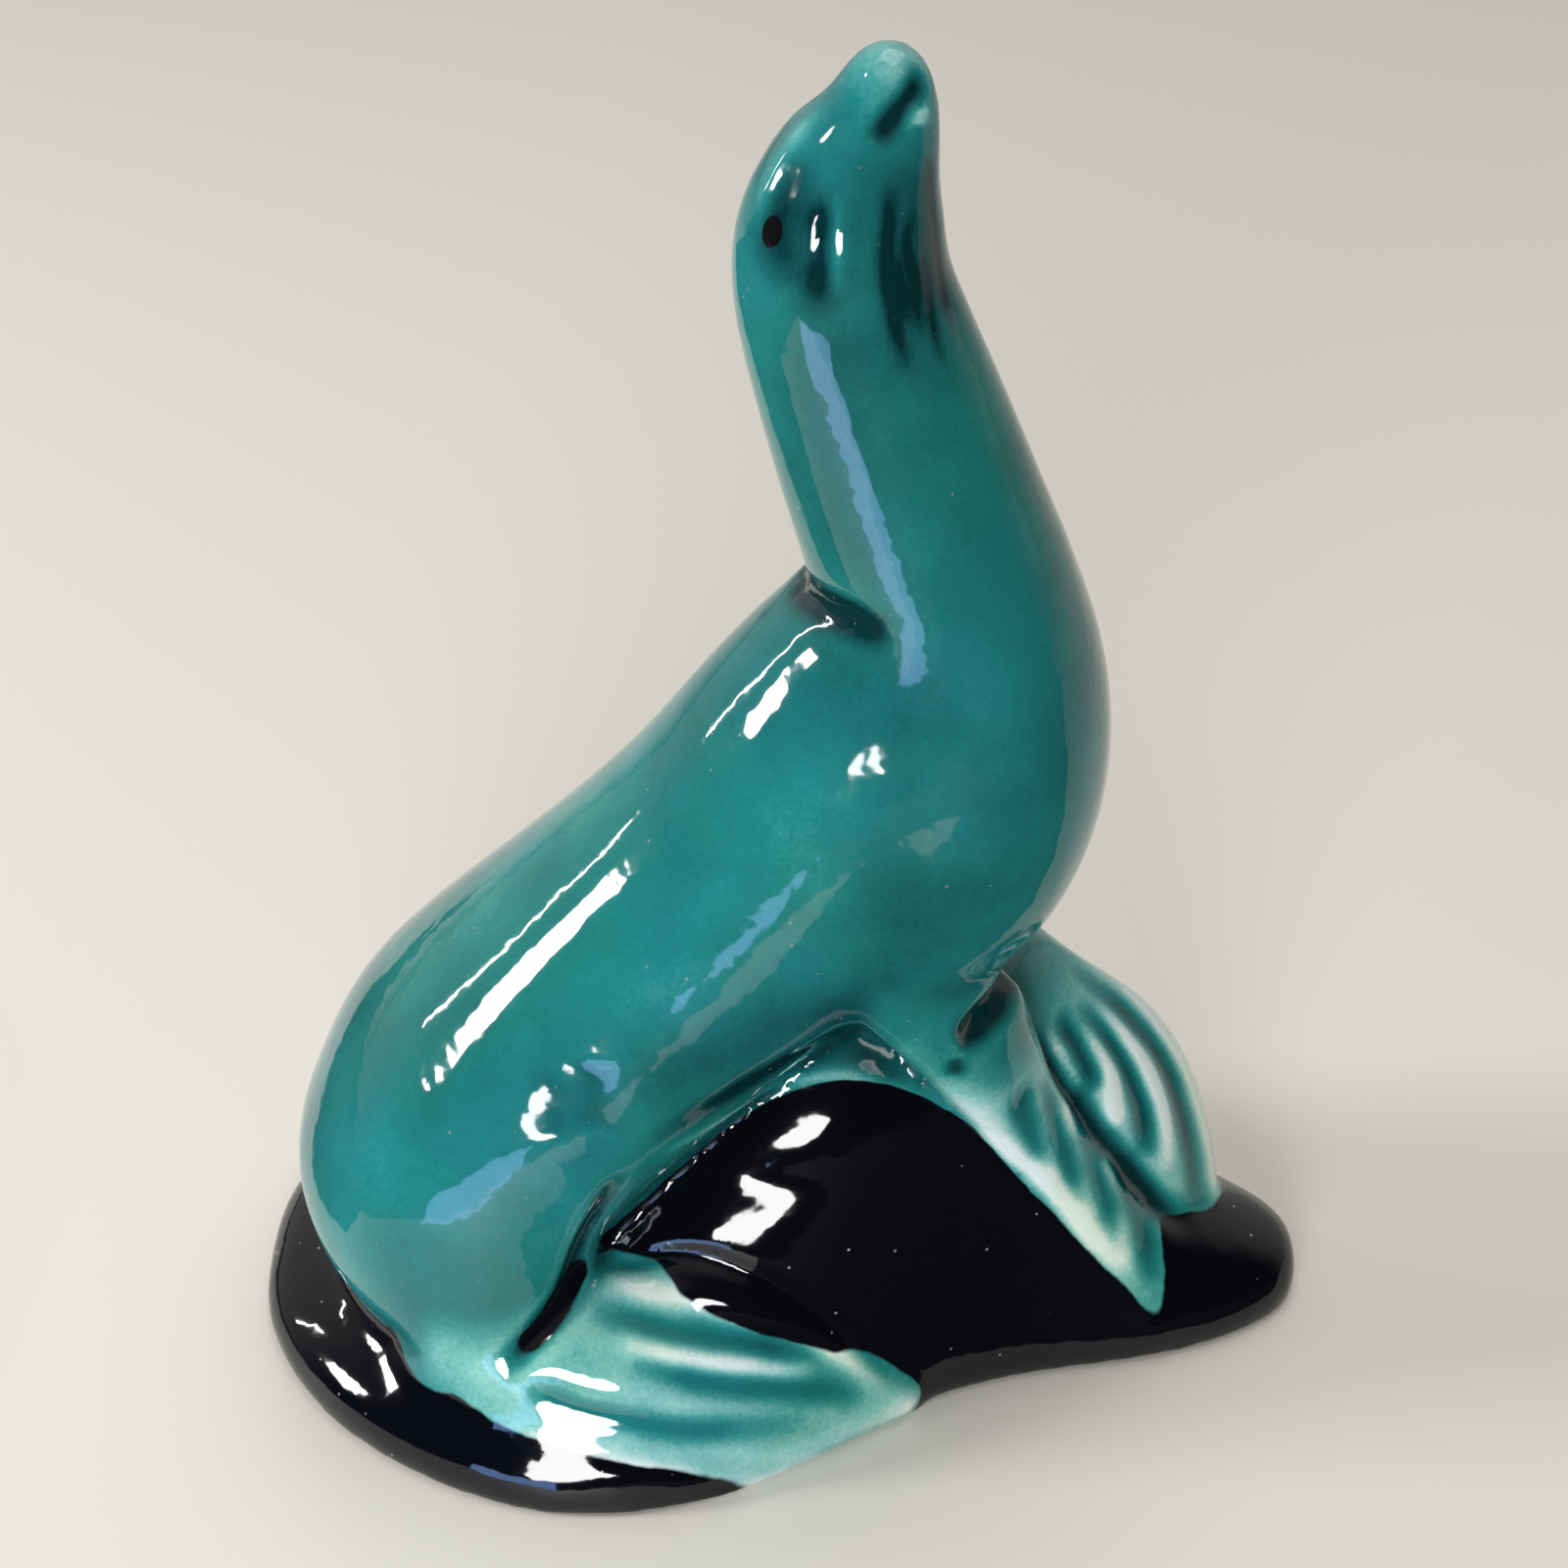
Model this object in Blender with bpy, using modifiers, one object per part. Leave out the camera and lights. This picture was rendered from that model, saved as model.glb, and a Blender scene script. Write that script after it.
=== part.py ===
"""Pottery seal figurine: one slip-cast and glazed piece, a seal reared up on a black rock.

The seal faces +X, its right side is towards -Y and +Z is up. The foot stands on z = 0.
Every form is a smooth loft through a few hand-set stations. The lofts are joined by a voxel
remesh and softened as thick glaze softens a casting. Creases, flutes and the mouth are then
pressed in along smooth lines, and the hollow, the pour hole and the eye holes are cut last.
"""

import bpy
import numpy as np
from mathutils import Vector
from mathutils.bvhtree import BVHTree

# Driving sizes, in metres.
HEIGHT = 0.162
WALL = 0.0045
FOOT_WALL = 0.0050
POUR_HOLE_RADIUS = 0.0115
EYE_HOLE_RADIUS = 0.00125
EYE_HOLE_STRETCH = 1.25
FLUTE_DEPTH = 0.0010
FLUTE_WIDTH = 0.0018
CREASE_DEPTH = 0.0016
CREASE_WIDTH = 0.0022

# The stations below are written in millimetres for a figure 162 mm tall. UNIT turns them into
# metres at the height above, so the whole figure follows HEIGHT.
DRAWN_HEIGHT = 162.0
UNIT = HEIGHT / DRAWN_HEIGHT

# How fine the joined skin is before it is thinned out, and how many faces the part keeps.
SKIN_VOXEL = 0.80
SKIN_SOFTENING = 8
FOLD_REACH = 5.0
FOLD_SOFTENING = 120
HOLLOW_VOXEL = 2.6
SKIN_FACES = 10800
HOLLOW_FACES = 900

# Torso from the rump to the shoulders, then chest, neck and head up to the nose: x, z, half
# width, half thickness to the back and to the belly.
TORSO = (
    (-57.5, 15.0, 3.0, 3.0, 3.0),
    (-55.0, 17.0, 19.0, 11.0, 11.0),
    (-48.0, 21.0, 28.0, 15.5, 17.0),
    (-39.0, 28.0, 31.5, 20.0, 20.0),
    (-26.0, 39.0, 29.0, 21.5, 18.0),
    (-12.0, 51.0, 24.5, 22.5, 16.0),
    (0.0, 62.0, 23.0, 23.5, 17.0),
    (9.0, 72.0, 22.3, 25.0, 17.0),
    (17.0, 82.0, 21.3, 24.5, 14.0),
    (23.0, 91.0, 18.5, 23.5, 9.0),
    (26.5, 97.5, 13.0, 19.0, 5.0),
    (28.0, 101.0, 6.0, 8.0, 3.0),
)
NECK = (
    (4.0, 55.0, 8.0, 4.0, 8.0),
    (9.0, 60.0, 19.0, 10.0, 15.0),
    (16.0, 68.0, 22.3, 15.0, 17.0),
    (20.5, 78.0, 22.8, 17.0, 16.6),
    (21.5, 88.0, 21.8, 17.0, 15.2),
    (19.5, 97.0, 19.0, 15.8, 14.3),
    (15.8, 107.0, 15.8, 13.8, 13.5),
    (11.5, 119.0, 13.2, 13.0, 13.0),
    (7.7, 130.0, 11.8, 12.0, 12.0),
    (5.6, 137.0, 11.2, 11.3, 11.3),
    (5.6, 143.0, 10.6, 10.9, 10.9),
    (7.0, 149.0, 9.0, 8.8, 9.4),
    (9.0, 153.5, 6.6, 6.2, 7.0),
    (10.0, 157.5, 5.2, 4.9, 5.4),
    (10.3, 160.8, 3.6, 3.4, 3.7),
    (10.3, 162.0, 1.2, 1.2, 1.2),
)

# Rock from the rear to the toe: x, foot half width, rim height, crest half width, crest height,
# height on the middle line.
ROCK = (
    (-65.5, 2.0, 4.0, 1.0, 4.5, 5.0),
    (-65.2, 10.0, 5.0, 6.0, 6.0, 6.5),
    (-61.0, 19.5, 6.0, 12.0, 8.0, 8.5),
    (-54.0, 28.5, 6.5, 18.0, 9.0, 10.0),
    (-44.0, 36.0, 7.0, 20.0, 11.0, 13.0),
    (-32.0, 41.5, 7.0, 18.0, 17.0, 20.0),
    (-20.0, 43.0, 5.0, 16.0, 28.0, 31.0),
    (-8.0, 39.5, 4.0, 17.0, 38.5, 43.0),
    (4.0, 32.0, 4.0, 18.0, 47.0, 54.0),
    (16.0, 24.0, 4.0, 17.0, 44.0, 54.0),
    (28.0, 19.5, 4.0, 14.0, 32.0, 41.0),
    (38.0, 18.0, 4.0, 12.0, 21.0, 26.0),
    (48.0, 16.0, 4.0, 10.0, 12.5, 15.0),
    (57.0, 12.5, 4.0, 7.5, 9.5, 10.5),
    (64.4, 7.5, 4.0, 4.0, 6.5, 7.0),
    (65.5, 2.0, 3.0, 1.0, 4.5, 5.0),
)

# Seat under the haunches, from the rear: x, z, half width, half thickness up and down.
SEAT = (
    (-58.0, 16.0, 3.0, 3.0, 3.0),
    (-55.5, 17.0, 18.0, 10.0, 9.0),
    (-49.0, 19.0, 27.5, 14.0, 12.5),
    (-40.0, 21.0, 31.5, 16.0, 15.0),
    (-30.0, 23.0, 29.5, 16.0, 16.0),
    (-22.0, 25.0, 22.0, 14.0, 15.0),
    (-17.0, 26.0, 8.0, 8.0, 8.0),
)

# Limbs: x, y, z of the middle line, the way the broad face looks, half width, half thickness
# outwards and inwards.
NEAR_FLIPPER = (
    (10.0, -14.0, 68.0, 0.5, -1.0, 0.1, 11.0, 6.0, 6.0),
    (18.0, -15.5, 57.0, 0.6, -1.0, 0.2, 9.0, 6.5, 7.0),
    (25.2, -14.3, 44.5, 0.7, -0.8, 0.4, 6.3, 6.0, 8.0),
    (32.8, -12.0, 32.7, 0.75, -0.65, 0.5, 5.4, 4.6, 8.0),
    (39.2, -10.7, 22.0, 0.8, -0.6, 0.5, 5.6, 4.2, 8.0),
    (43.0, -10.5, 13.0, 0.85, -0.6, 0.5, 4.6, 3.8, 7.0),
    (45.0, -12.0, 3.0, 0.9, -0.5, 0.5, 1.2, 1.6, 3.0),
)
FAR_FLIPPER = (
    (18.0, 8.0, 57.0, 0.4, 0.6, 0.4, 9.0, 5.0, 6.0),
    (26.0, 5.0, 46.0, 0.6, -0.2, 0.6, 9.0, 4.0, 7.0),
    (33.0, 2.5, 38.5, 0.66, -0.45, 0.6, 10.0, 3.5, 9.0),
    (40.0, 2.0, 32.0, 0.66, -0.5, 0.5, 11.5, 3.5, 10.0),
    (45.5, 2.0, 24.0, 0.7, -0.5, 0.45, 11.0, 3.5, 10.0),
    (49.5, 1.5, 15.5, 0.75, -0.5, 0.4, 8.5, 3.5, 9.0),
    (52.0, 0.5, 8.0, 0.8, -0.5, 0.35, 4.5, 3.0, 6.0),
    (53.5, -0.5, 2.0, 0.9, -0.4, 0.3, 1.0, 1.4, 3.0),
)
WEB = (
    (24.0, -3.0, 44.0, 0.73, -0.49, 0.49, 5.0, 4.0, 8.0),
    (30.0, -3.5, 35.0, 0.73, -0.49, 0.49, 7.0, 4.0, 8.0),
    (35.5, -3.0, 26.5, 0.73, -0.49, 0.49, 7.0, 4.0, 8.0),
    (40.5, -3.0, 18.5, 0.73, -0.49, 0.49, 6.0, 4.0, 8.0),
    (43.5, -3.0, 13.0, 0.73, -0.49, 0.49, 4.0, 3.5, 6.0),
    (45.0, -3.0, 10.0, 0.73, -0.49, 0.49, 1.5, 1.5, 3.0),
)
HIND_FLIPPER = (
    (-38.0, -25.0, 15.5, 0.0, -0.7, 0.7, 6.0, 6.0, 6.0),
    (-30.0, -28.0, 14.0, 0.0, -0.75, 0.65, 10.5, 6.0, 6.0),
    (-20.0, -29.5, 12.0, 0.0, -0.8, 0.6, 14.0, 6.5, 6.0),
    (-10.0, -29.0, 10.5, 0.0, -0.8, 0.6, 14.0, 6.0, 6.0),
    (0.0, -27.5, 8.0, 0.0, -0.8, 0.6, 11.5, 5.0, 6.0),
    (8.0, -25.5, 5.0, 0.0, -0.8, 0.6, 7.0, 4.0, 4.0),
    (15.5, -24.5, 1.5, 0.0, -0.8, 0.6, 1.5, 2.0, 2.0),
)
THIGH = (
    (-28.0, -12.0, 46.0, -0.3, -1.0, 0.5, 8.0, 7.0, 8.0),
    (-32.0, -18.0, 38.0, -0.2, -1.0, 0.4, 12.0, 11.0, 8.0),
    (-34.5, -22.0, 28.0, -0.1, -1.0, 0.3, 12.5, 10.0, 8.0),
    (-36.5, -24.0, 18.0, 0.0, -1.0, 0.3, 11.0, 8.0, 8.0),
    (-36.0, -27.0, 9.0, 0.0, -1.0, 0.3, 7.0, 5.0, 6.0),
)

# Lines worked into the skin, each laid on it first. Furrows of the near front flipper, the far
# one and a hind one, and then the ridges between them.
NEAR_FURROWS = (
    ((24.5, -20.5, 48.5), (26.0, -20.0, 43.5), (28.5, -17.0, 35.5)),
    ((28.0, -19.0, 44.5), (30.0, -18.0, 38.0), (32.5, -16.5, 30.5)),
    ((32.5, -17.0, 37.0), (35.5, -16.0, 30.0), (38.0, -14.5, 21.5)),
    ((39.0, -14.0, 27.5), (41.5, -14.5, 21.5), (43.0, -14.5, 13.5)),
)
FAR_FURROWS = (
    ((32.5, -0.5, 42.0), (35.5, -1.5, 37.0), (36.5, -3.5, 32.0)),
    ((35.5, 2.5, 41.5), (40.5, 1.0, 34.0), (43.0, -1.5, 27.5), (43.5, -4.0, 22.0)),
    ((34.5, 6.5, 43.5), (41.0, 6.5, 37.5), (46.0, 5.0, 30.0), (49.0, 2.0, 22.5), (50.5, -3.0, 9.0)),
)
HIND_FURROWS = (
    ((-23.0, -28.5, 20.5), (-17.0, -29.5, 19.0), (-9.0, -29.5, 16.5), (-1.0, -28.5, 14.5),
     (5.0, -27.0, 12.5)),
    ((-18.0, -33.0, 17.0), (-11.5, -33.0, 13.5), (-4.5, -32.0, 11.5), (3.5, -30.5, 9.5),
     (10.0, -28.5, 6.0)),
    ((-31.0, -35.0, 14.0), (-26.0, -36.0, 13.0), (-19.0, -37.0, 11.0), (-11.5, -36.5, 8.5),
     (2.5, -32.0, 6.0)),
)
FAR_RIDGES = (
    ((31.0, -3.0, 41.0), (33.5, -4.0, 36.0), (35.0, -5.0, 32.5)),
    ((34.5, 0.5, 41.5), (38.5, -0.5, 35.5), (39.5, -3.0, 30.0), (38.5, -4.5, 27.5)),
    ((37.5, 4.0, 40.0), (42.5, 3.0, 34.0), (46.0, 0.5, 26.0), (46.0, -3.0, 19.0)),
)
HIND_RIDGES = (
    ((-21.0, -26.5, 22.0), (-14.0, -27.0, 21.5), (-6.0, -27.0, 19.5), (1.0, -26.5, 16.0),
     (7.0, -26.0, 11.0)),
    ((-20.0, -31.0, 18.5), (-12.0, -31.5, 15.5), (-4.0, -30.5, 13.5), (4.0, -28.5, 10.0)),
)

# The valley between the front flippers and the pit at their root.
VALLEY = ((28.0, -6.0, 44.0), (32.5, -5.5, 37.0), (38.0, -5.5, 29.0), (43.0, -5.5, 20.5),
          (48.5, -5.0, 10.0))
PIT = ((21.5, -20.5, 55.0), (25.0, -12.0, 53.0), (28.5, -3.0, 49.5))

# Creases on both sides of the figure, each with its depth and width as shares of the crease
# sizes: the nape, the mouth, the hollow before the eye, two wrinkles of the haunch, the valley
# before it, and the edge above the hind flipper.
CREASES = (
    (((1.0, 2.0, 101.0), (3.5, -5.0, 102.5), (7.0, -10.5, 103.5), (11.5, -14.5, 104.0)), 0.7, 0.9),
    (((13.5, -1.5, 159.8), (12.0, -3.5, 158.0), (10.5, -4.8, 156.3), (8.5, -6.3, 154.2)), 0.5, 0.55),
    (((2.0, -5.0, 153.0), (0.2, -5.5, 148.5), (0.0, -7.0, 144.0), (1.8, -9.0, 140.0)), 0.4, 1.1),
    (((-20.5, -24.0, 54.0), (-21.0, -25.0, 50.0), (-22.0, -26.0, 45.5)), 0.35, 1.0),
    (((-25.5, -24.0, 52.5), (-26.0, -25.5, 48.0), (-26.5, -27.0, 44.5)), 0.25, 0.9),
    (((-20.5, -23.0, 40.0), (-22.0, -25.0, 32.5), (-25.0, -26.0, 24.0), (-28.5, -29.0, 18.5),
      (-32.5, -33.0, 14.0)), 0.9, 0.75),
    (((-23.0, -24.5, 23.0), (-17.0, -23.5, 24.5), (-9.0, -23.5, 25.0), (-1.0, -24.5, 22.5),
      (6.0, -24.0, 14.5), (12.0, -25.0, 6.0)), 0.6, 0.6),
)

# The eye hole runs from outside the head to its hollow, and the pour hole goes up the foot.
EYE_FROM = (-4.6, -9.8, 145.1)
EYE_TO = (4.4, -1.6, 145.1)
POUR_HOLE_X = -6.0

BLACK_GLAZE = (0.006, 0.008, 0.012, 1.0)
TEAL_GLAZE = (0.012, 0.165, 0.150, 1.0)


def spline(points, count):
    """Return count points on a smooth cubic through the ends of the rows in points."""
    rows = np.asarray(points, dtype=float)
    first = 2.0 * rows[0] - rows[1]
    last = 2.0 * rows[-1] - rows[-2]
    rows = np.vstack([first, rows, last])
    place = np.linspace(0.0, len(rows) - 3.0, count)
    span = np.minimum(place.astype(int), len(rows) - 4)
    part = (place - span)[:, None]
    blend_0 = (1.0 - part) ** 3 / 6.0
    blend_1 = (3.0 * part ** 3 - 6.0 * part ** 2 + 4.0) / 6.0
    blend_2 = (-3.0 * part ** 3 + 3.0 * part ** 2 + 3.0 * part + 1.0) / 6.0
    blend_3 = part ** 3 / 6.0
    near = blend_0 * rows[span] + blend_1 * rows[span + 1]
    return near + blend_2 * rows[span + 2] + blend_3 * rows[span + 3]


def unit(rows):
    """Return the rows scaled to length one."""
    return rows / np.linalg.norm(rows, axis=1)[:, None]


def frame_of(stations, count):
    """Return the middle line, its outward and sideways directions, and the sizes along it."""
    rows = spline(stations, count)
    middle = rows[:, :3]
    along = unit(np.gradient(middle, axis=0))
    out = rows[:, 3:6]
    out = unit(out - (out * along).sum(axis=1)[:, None] * along)
    side = np.cross(along, out)
    return middle, out, side, rows[:, 6:9]


def limb_rings(stations, inset=0.0, count=48, around=32):
    """Return the rings of an oval limb, drawn in by inset all round."""
    middle, out, side, sizes = frame_of(stations, count)
    sizes = np.maximum(sizes - inset, 0.3)
    turn = np.linspace(0.0, 2.0 * np.pi, around, endpoint=False)
    across = sizes[:, :1] * np.cos(turn)
    thick = np.where(np.sin(turn) > 0.0, sizes[:, 1:2], sizes[:, 2:3]) * np.sin(turn)
    return middle[:, None, :] + across[..., None] * side[:, None, :] + thick[..., None] * out[:, None, :]


def body_stations(table):
    """Turn the body table into limb stations whose broad face looks to the back."""
    rows = np.asarray(table, dtype=float)
    middle = np.column_stack([rows[:, 0], np.zeros(len(rows)), rows[:, 1]])
    along = np.gradient(middle, axis=0)
    back = unit(np.column_stack([-along[:, 2], np.zeros(len(rows)), along[:, 0]]))
    return np.column_stack([middle, back, rows[:, 2:5]])


def rock_rings(inset=0.0, floor=0.0, count=64):
    """Return the rings of the rock, each a section across it that goes once round."""
    rows = spline(ROCK, count)
    keep = np.abs(rows[:, 0]) < abs(ROCK[0][0]) - inset
    rows = rows[keep]
    foot, rim, crest, crest_z, top = (rows[:, column] for column in range(1, 6))
    foot = np.maximum(foot - inset, 0.5)
    crest = np.maximum(crest - inset, 0.3)
    rim = np.maximum(rim - 0.5 * inset, floor + 0.5)
    crest_z = np.maximum(crest_z - inset, floor + 1.0)
    top = np.maximum(top - inset, floor + 1.2)
    half = (
        (foot, 0.0 * foot + floor),
        (foot, 0.6 * floor + 0.4 * rim),
        (0.97 * foot + 0.03 * crest, 0.9 * rim),
        (0.86 * foot + 0.14 * crest, rim + 0.06 * (crest_z - rim)),
        (0.50 * foot + 0.50 * crest, 0.52 * rim + 0.48 * crest_z),
        (0.12 * foot + 0.88 * crest, 0.10 * rim + 0.90 * crest_z),
        (0.80 * crest, 0.2 * top + 0.8 * crest_z),
        (0.30 * crest, top),
    )
    sides = [np.stack([-wide, high], axis=1) for wide, high in half]
    sides += [np.stack([wide, high], axis=1) for wide, high in reversed(half)]
    section = np.stack(sides, axis=1)
    rings = []
    for place, outline in zip(rows[:, 0], section):
        smooth = spline(outline, 56)
        rings.append(np.column_stack([np.full(len(smooth), place), smooth]))
    return np.stack(rings)


def mirrored(rings):
    """Return the rings for the other side of the figure, still facing outwards."""
    return (rings * np.array([1.0, -1.0, 1.0]))[:, ::-1]


def mesh_of(name, all_rings):
    """Make one mesh that holds each set of rings as a closed skin."""
    points = []
    faces = []
    for rings in all_rings:
        start = sum(len(rows) for rows in points)
        count, around = rings.shape[:2]
        place = start + np.arange(count * around).reshape(count, around)
        ahead = np.roll(place, -1, axis=1)
        quads = np.stack([place[:-1], place[1:], ahead[1:], ahead[:-1]], axis=-1).reshape(-1, 4)
        points.append(rings.reshape(-1, 3))
        faces.extend(quads.tolist())
        faces.append(place[0].tolist())
        faces.append(place[-1][::-1].tolist())
    mesh = bpy.data.meshes.new(name)
    mesh.from_pydata((np.vstack(points) * UNIT).tolist(), [], faces)
    mesh.update()
    return mesh


def add_object(name, mesh, collection):
    """Put a mesh in a collection as an object and return it."""
    made = bpy.data.objects.new(name, mesh)
    collection.objects.link(made)
    return made


def settled(name, source, collection):
    """Apply an object's modifiers into a new object and remove the old one."""
    graph = bpy.context.evaluated_depsgraph_get()
    mesh = bpy.data.meshes.new_from_object(source.evaluated_get(graph))
    bpy.data.objects.remove(source, do_unlink=True)
    mesh.name = name
    return add_object(name, mesh, collection)


def joined_skin(name, all_rings, voxel, softening, collection):
    """Join closed skins into one body and soften the places where they meet."""
    source = add_object(name + "_forms", mesh_of(name + "_forms", all_rings), collection)
    remesh = source.modifiers.new("join", "REMESH")
    remesh.mode = "VOXEL"
    remesh.voxel_size = voxel * UNIT
    soften = source.modifiers.new("soften", "SMOOTH")
    soften.factor = 0.5
    soften.iterations = softening
    return settled(name, source, collection)


def thinned(name, source, faces, collection):
    """Keep about the given number of triangles, most where the skin bends most."""
    count = sum(len(face.vertices) - 2 for face in source.data.polygons)
    thin = source.modifiers.new("thin", "DECIMATE")
    thin.ratio = min(1.0, faces / count)
    thin.use_collapse_triangulate = True
    return settled(name, source, collection)


def pressed(points, normals, path, depth, width):
    """Return how far each point is moved by a groove along a path, deepest mid-way along it."""
    best = np.full(len(points), 1.0e9)
    where = np.zeros(len(points))
    for index, (start, end) in enumerate(zip(path[:-1], path[1:])):
        run = end - start
        share = np.clip(((points - start) @ run) / max(run @ run, 1.0e-9), 0.0, 1.0)
        gap = np.linalg.norm(points - start - share[:, None] * run, axis=1)
        closer = gap < best
        best = np.where(closer, gap, best)
        where = np.where(closer, (index + share) / (len(path) - 1.0), where)
    fade = np.clip(8.0 * where * (1.0 - where) + 0.15, 0.0, 1.0)
    return -(depth * fade * np.exp(-(best / width) ** 2))[:, None] * normals


def both_sides(line):
    """Return a line and its copy on the other side of the figure."""
    line = np.asarray(line, dtype=float)
    return line, line * np.array([1.0, -1.0, 1.0])


def all_grooves():
    """List each line worked into the skin with its depth and width in drawn millimetres."""
    flute_depth = FLUTE_DEPTH / UNIT
    flute_width = FLUTE_WIDTH / UNIT
    crease_depth = CREASE_DEPTH / UNIT
    crease_width = CREASE_WIDTH / UNIT
    grooves = [(line, flute_depth, flute_width) for line in NEAR_FURROWS + FAR_FURROWS]
    grooves += [(line, -0.4 * flute_depth, 0.8 * flute_width) for line in FAR_RIDGES]
    grooves.append((VALLEY, 1.5 * flute_depth, 0.9 * flute_width))
    grooves.append((PIT, 2.0 * flute_depth, 1.3 * flute_width))
    for furrow in HIND_FURROWS:
        grooves += [(line, flute_depth, flute_width) for line in both_sides(furrow)]
    for ridge in HIND_RIDGES:
        grooves += [(line, -0.3 * flute_depth, flute_width) for line in both_sides(ridge)]
    for crease, depth, width in CREASES:
        sides = both_sides(crease)
        grooves += [(line, depth * crease_depth, width * crease_width) for line in sides]
    return grooves


def laid_on(line, tree):
    """Return a smooth line through places on the skin nearest to the given line."""
    path = spline(line, 9)
    placed = np.array([tree.find_nearest(Vector(point * UNIT))[0] for point in path]) / UNIT
    return spline(placed, 30)


def reach(points, stations):
    """Return roughly how far points are outside an oval limb, 0 inside it."""
    middle, out, side, sizes = frame_of(stations, 4 * len(stations) + 40)
    along = np.cross(out, side)
    best = np.full(len(points), 1.0e9)
    for centre, face, wide, axis, size in zip(middle, out, side, along, sizes):
        away = points - centre
        up = away @ face
        flat = away @ wide
        share = np.hypot(flat / size[0], up / np.where(up > 0.0, size[1], size[2]))
        local = np.hypot(flat, up) / np.maximum(share, 1.0e-6)
        above = np.maximum(share - 1.0, 0.0) * local
        best = np.minimum(best, above ** 2 + (away @ axis) ** 2)
    return np.sqrt(best)


def melt_folds(mesh, forms):
    """Smooth the skin where two of the given forms meet, most where both skins are near."""
    count = len(mesh.vertices)
    flat = np.empty(count * 3)
    mesh.vertices.foreach_get("co", flat)
    points = flat.reshape(count, 3) / UNIT
    ends = np.empty(2 * len(mesh.edges), dtype=np.int64)
    mesh.edges.foreach_get("vertices", ends)
    start, end = ends.reshape(-1, 2).T
    degree = np.bincount(ends, minlength=count)
    away = np.sort([reach(points, stations) for stations in forms], axis=0)
    share = np.exp(-(away[1] / FOLD_REACH) ** 2) * np.exp(-(away[0] / SKIN_VOXEL) ** 2)
    for _ in range(FOLD_SOFTENING):
        for column in range(3):
            value = points[:, column]
            total = np.bincount(start, weights=value[end], minlength=count)
            total += np.bincount(end, weights=value[start], minlength=count)
            points[:, column] += 0.5 * share * (total / degree - value)
    mesh.vertices.foreach_set("co", (points * UNIT).ravel())
    mesh.update()


def press_grooves(mesh):
    """Press every groove into the skin, each along the skin's own directions."""
    count = len(mesh.vertices)
    flat = np.empty(count * 3)
    mesh.vertices.foreach_get("co", flat)
    points = flat.reshape(count, 3) / UNIT
    mesh.vertices.foreach_get("normal", flat)
    normals = flat.reshape(count, 3).copy()
    faces = [face.vertices[:] for face in mesh.polygons]
    tree = BVHTree.FromPolygons((points * UNIT).tolist(), faces)
    moved = np.zeros_like(points)
    for line, depth, width in all_grooves():
        moved += pressed(points, normals, laid_on(line, tree), depth, width)
    mesh.vertices.foreach_set("co", ((points + moved) * UNIT).ravel())
    mesh.update()


def cutter(name, mesh, collection):
    """Add a cutter object that shows as wire and is never part of the build."""
    made = add_object(name, mesh, collection)
    made.display_type = "WIRE"
    made.hide_render = True
    return made


def tube_stations(start, end, face, across, thick):
    """Return the stations of a straight oval tube between two points."""
    ends = np.array([start, end], dtype=float)
    sizes = np.array([across, thick, thick], dtype=float)
    return np.array([np.concatenate([point, face, sizes]) for point in ends])


def slab_mesh(name, reach, depth):
    """Make the slab below the floor that cuts the foot flat."""
    corners = [(-reach, -reach), (reach, -reach), (reach, reach), (-reach, reach)]
    points = [(x, y, -depth) for x, y in corners] + [(x, y, 0.0) for x, y in corners]
    faces = [(3, 2, 1, 0), (4, 5, 6, 7), (0, 1, 5, 4), (1, 2, 6, 5), (2, 3, 7, 6), (3, 0, 4, 7)]
    mesh = bpy.data.meshes.new(name)
    mesh.from_pydata(points, [], faces)
    mesh.update()
    return mesh


def subtract(target, name, tool):
    """Cut a tool out of the target with an exact Boolean."""
    step = target.modifiers.new(name, "BOOLEAN")
    step.operation = "DIFFERENCE"
    step.solver = "EXACT"
    step.object = tool


def glaze(name, colour, roughness):
    """Make a glossy glaze material."""
    material = bpy.data.materials.new(name)
    material.use_nodes = True
    shader = material.node_tree.nodes["Principled BSDF"]
    shader.inputs["Base Color"].default_value = colour
    shader.inputs["Roughness"].default_value = roughness
    shader.inputs["Metallic"].default_value = 0.0
    material.diffuse_color = colour
    return material


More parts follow.
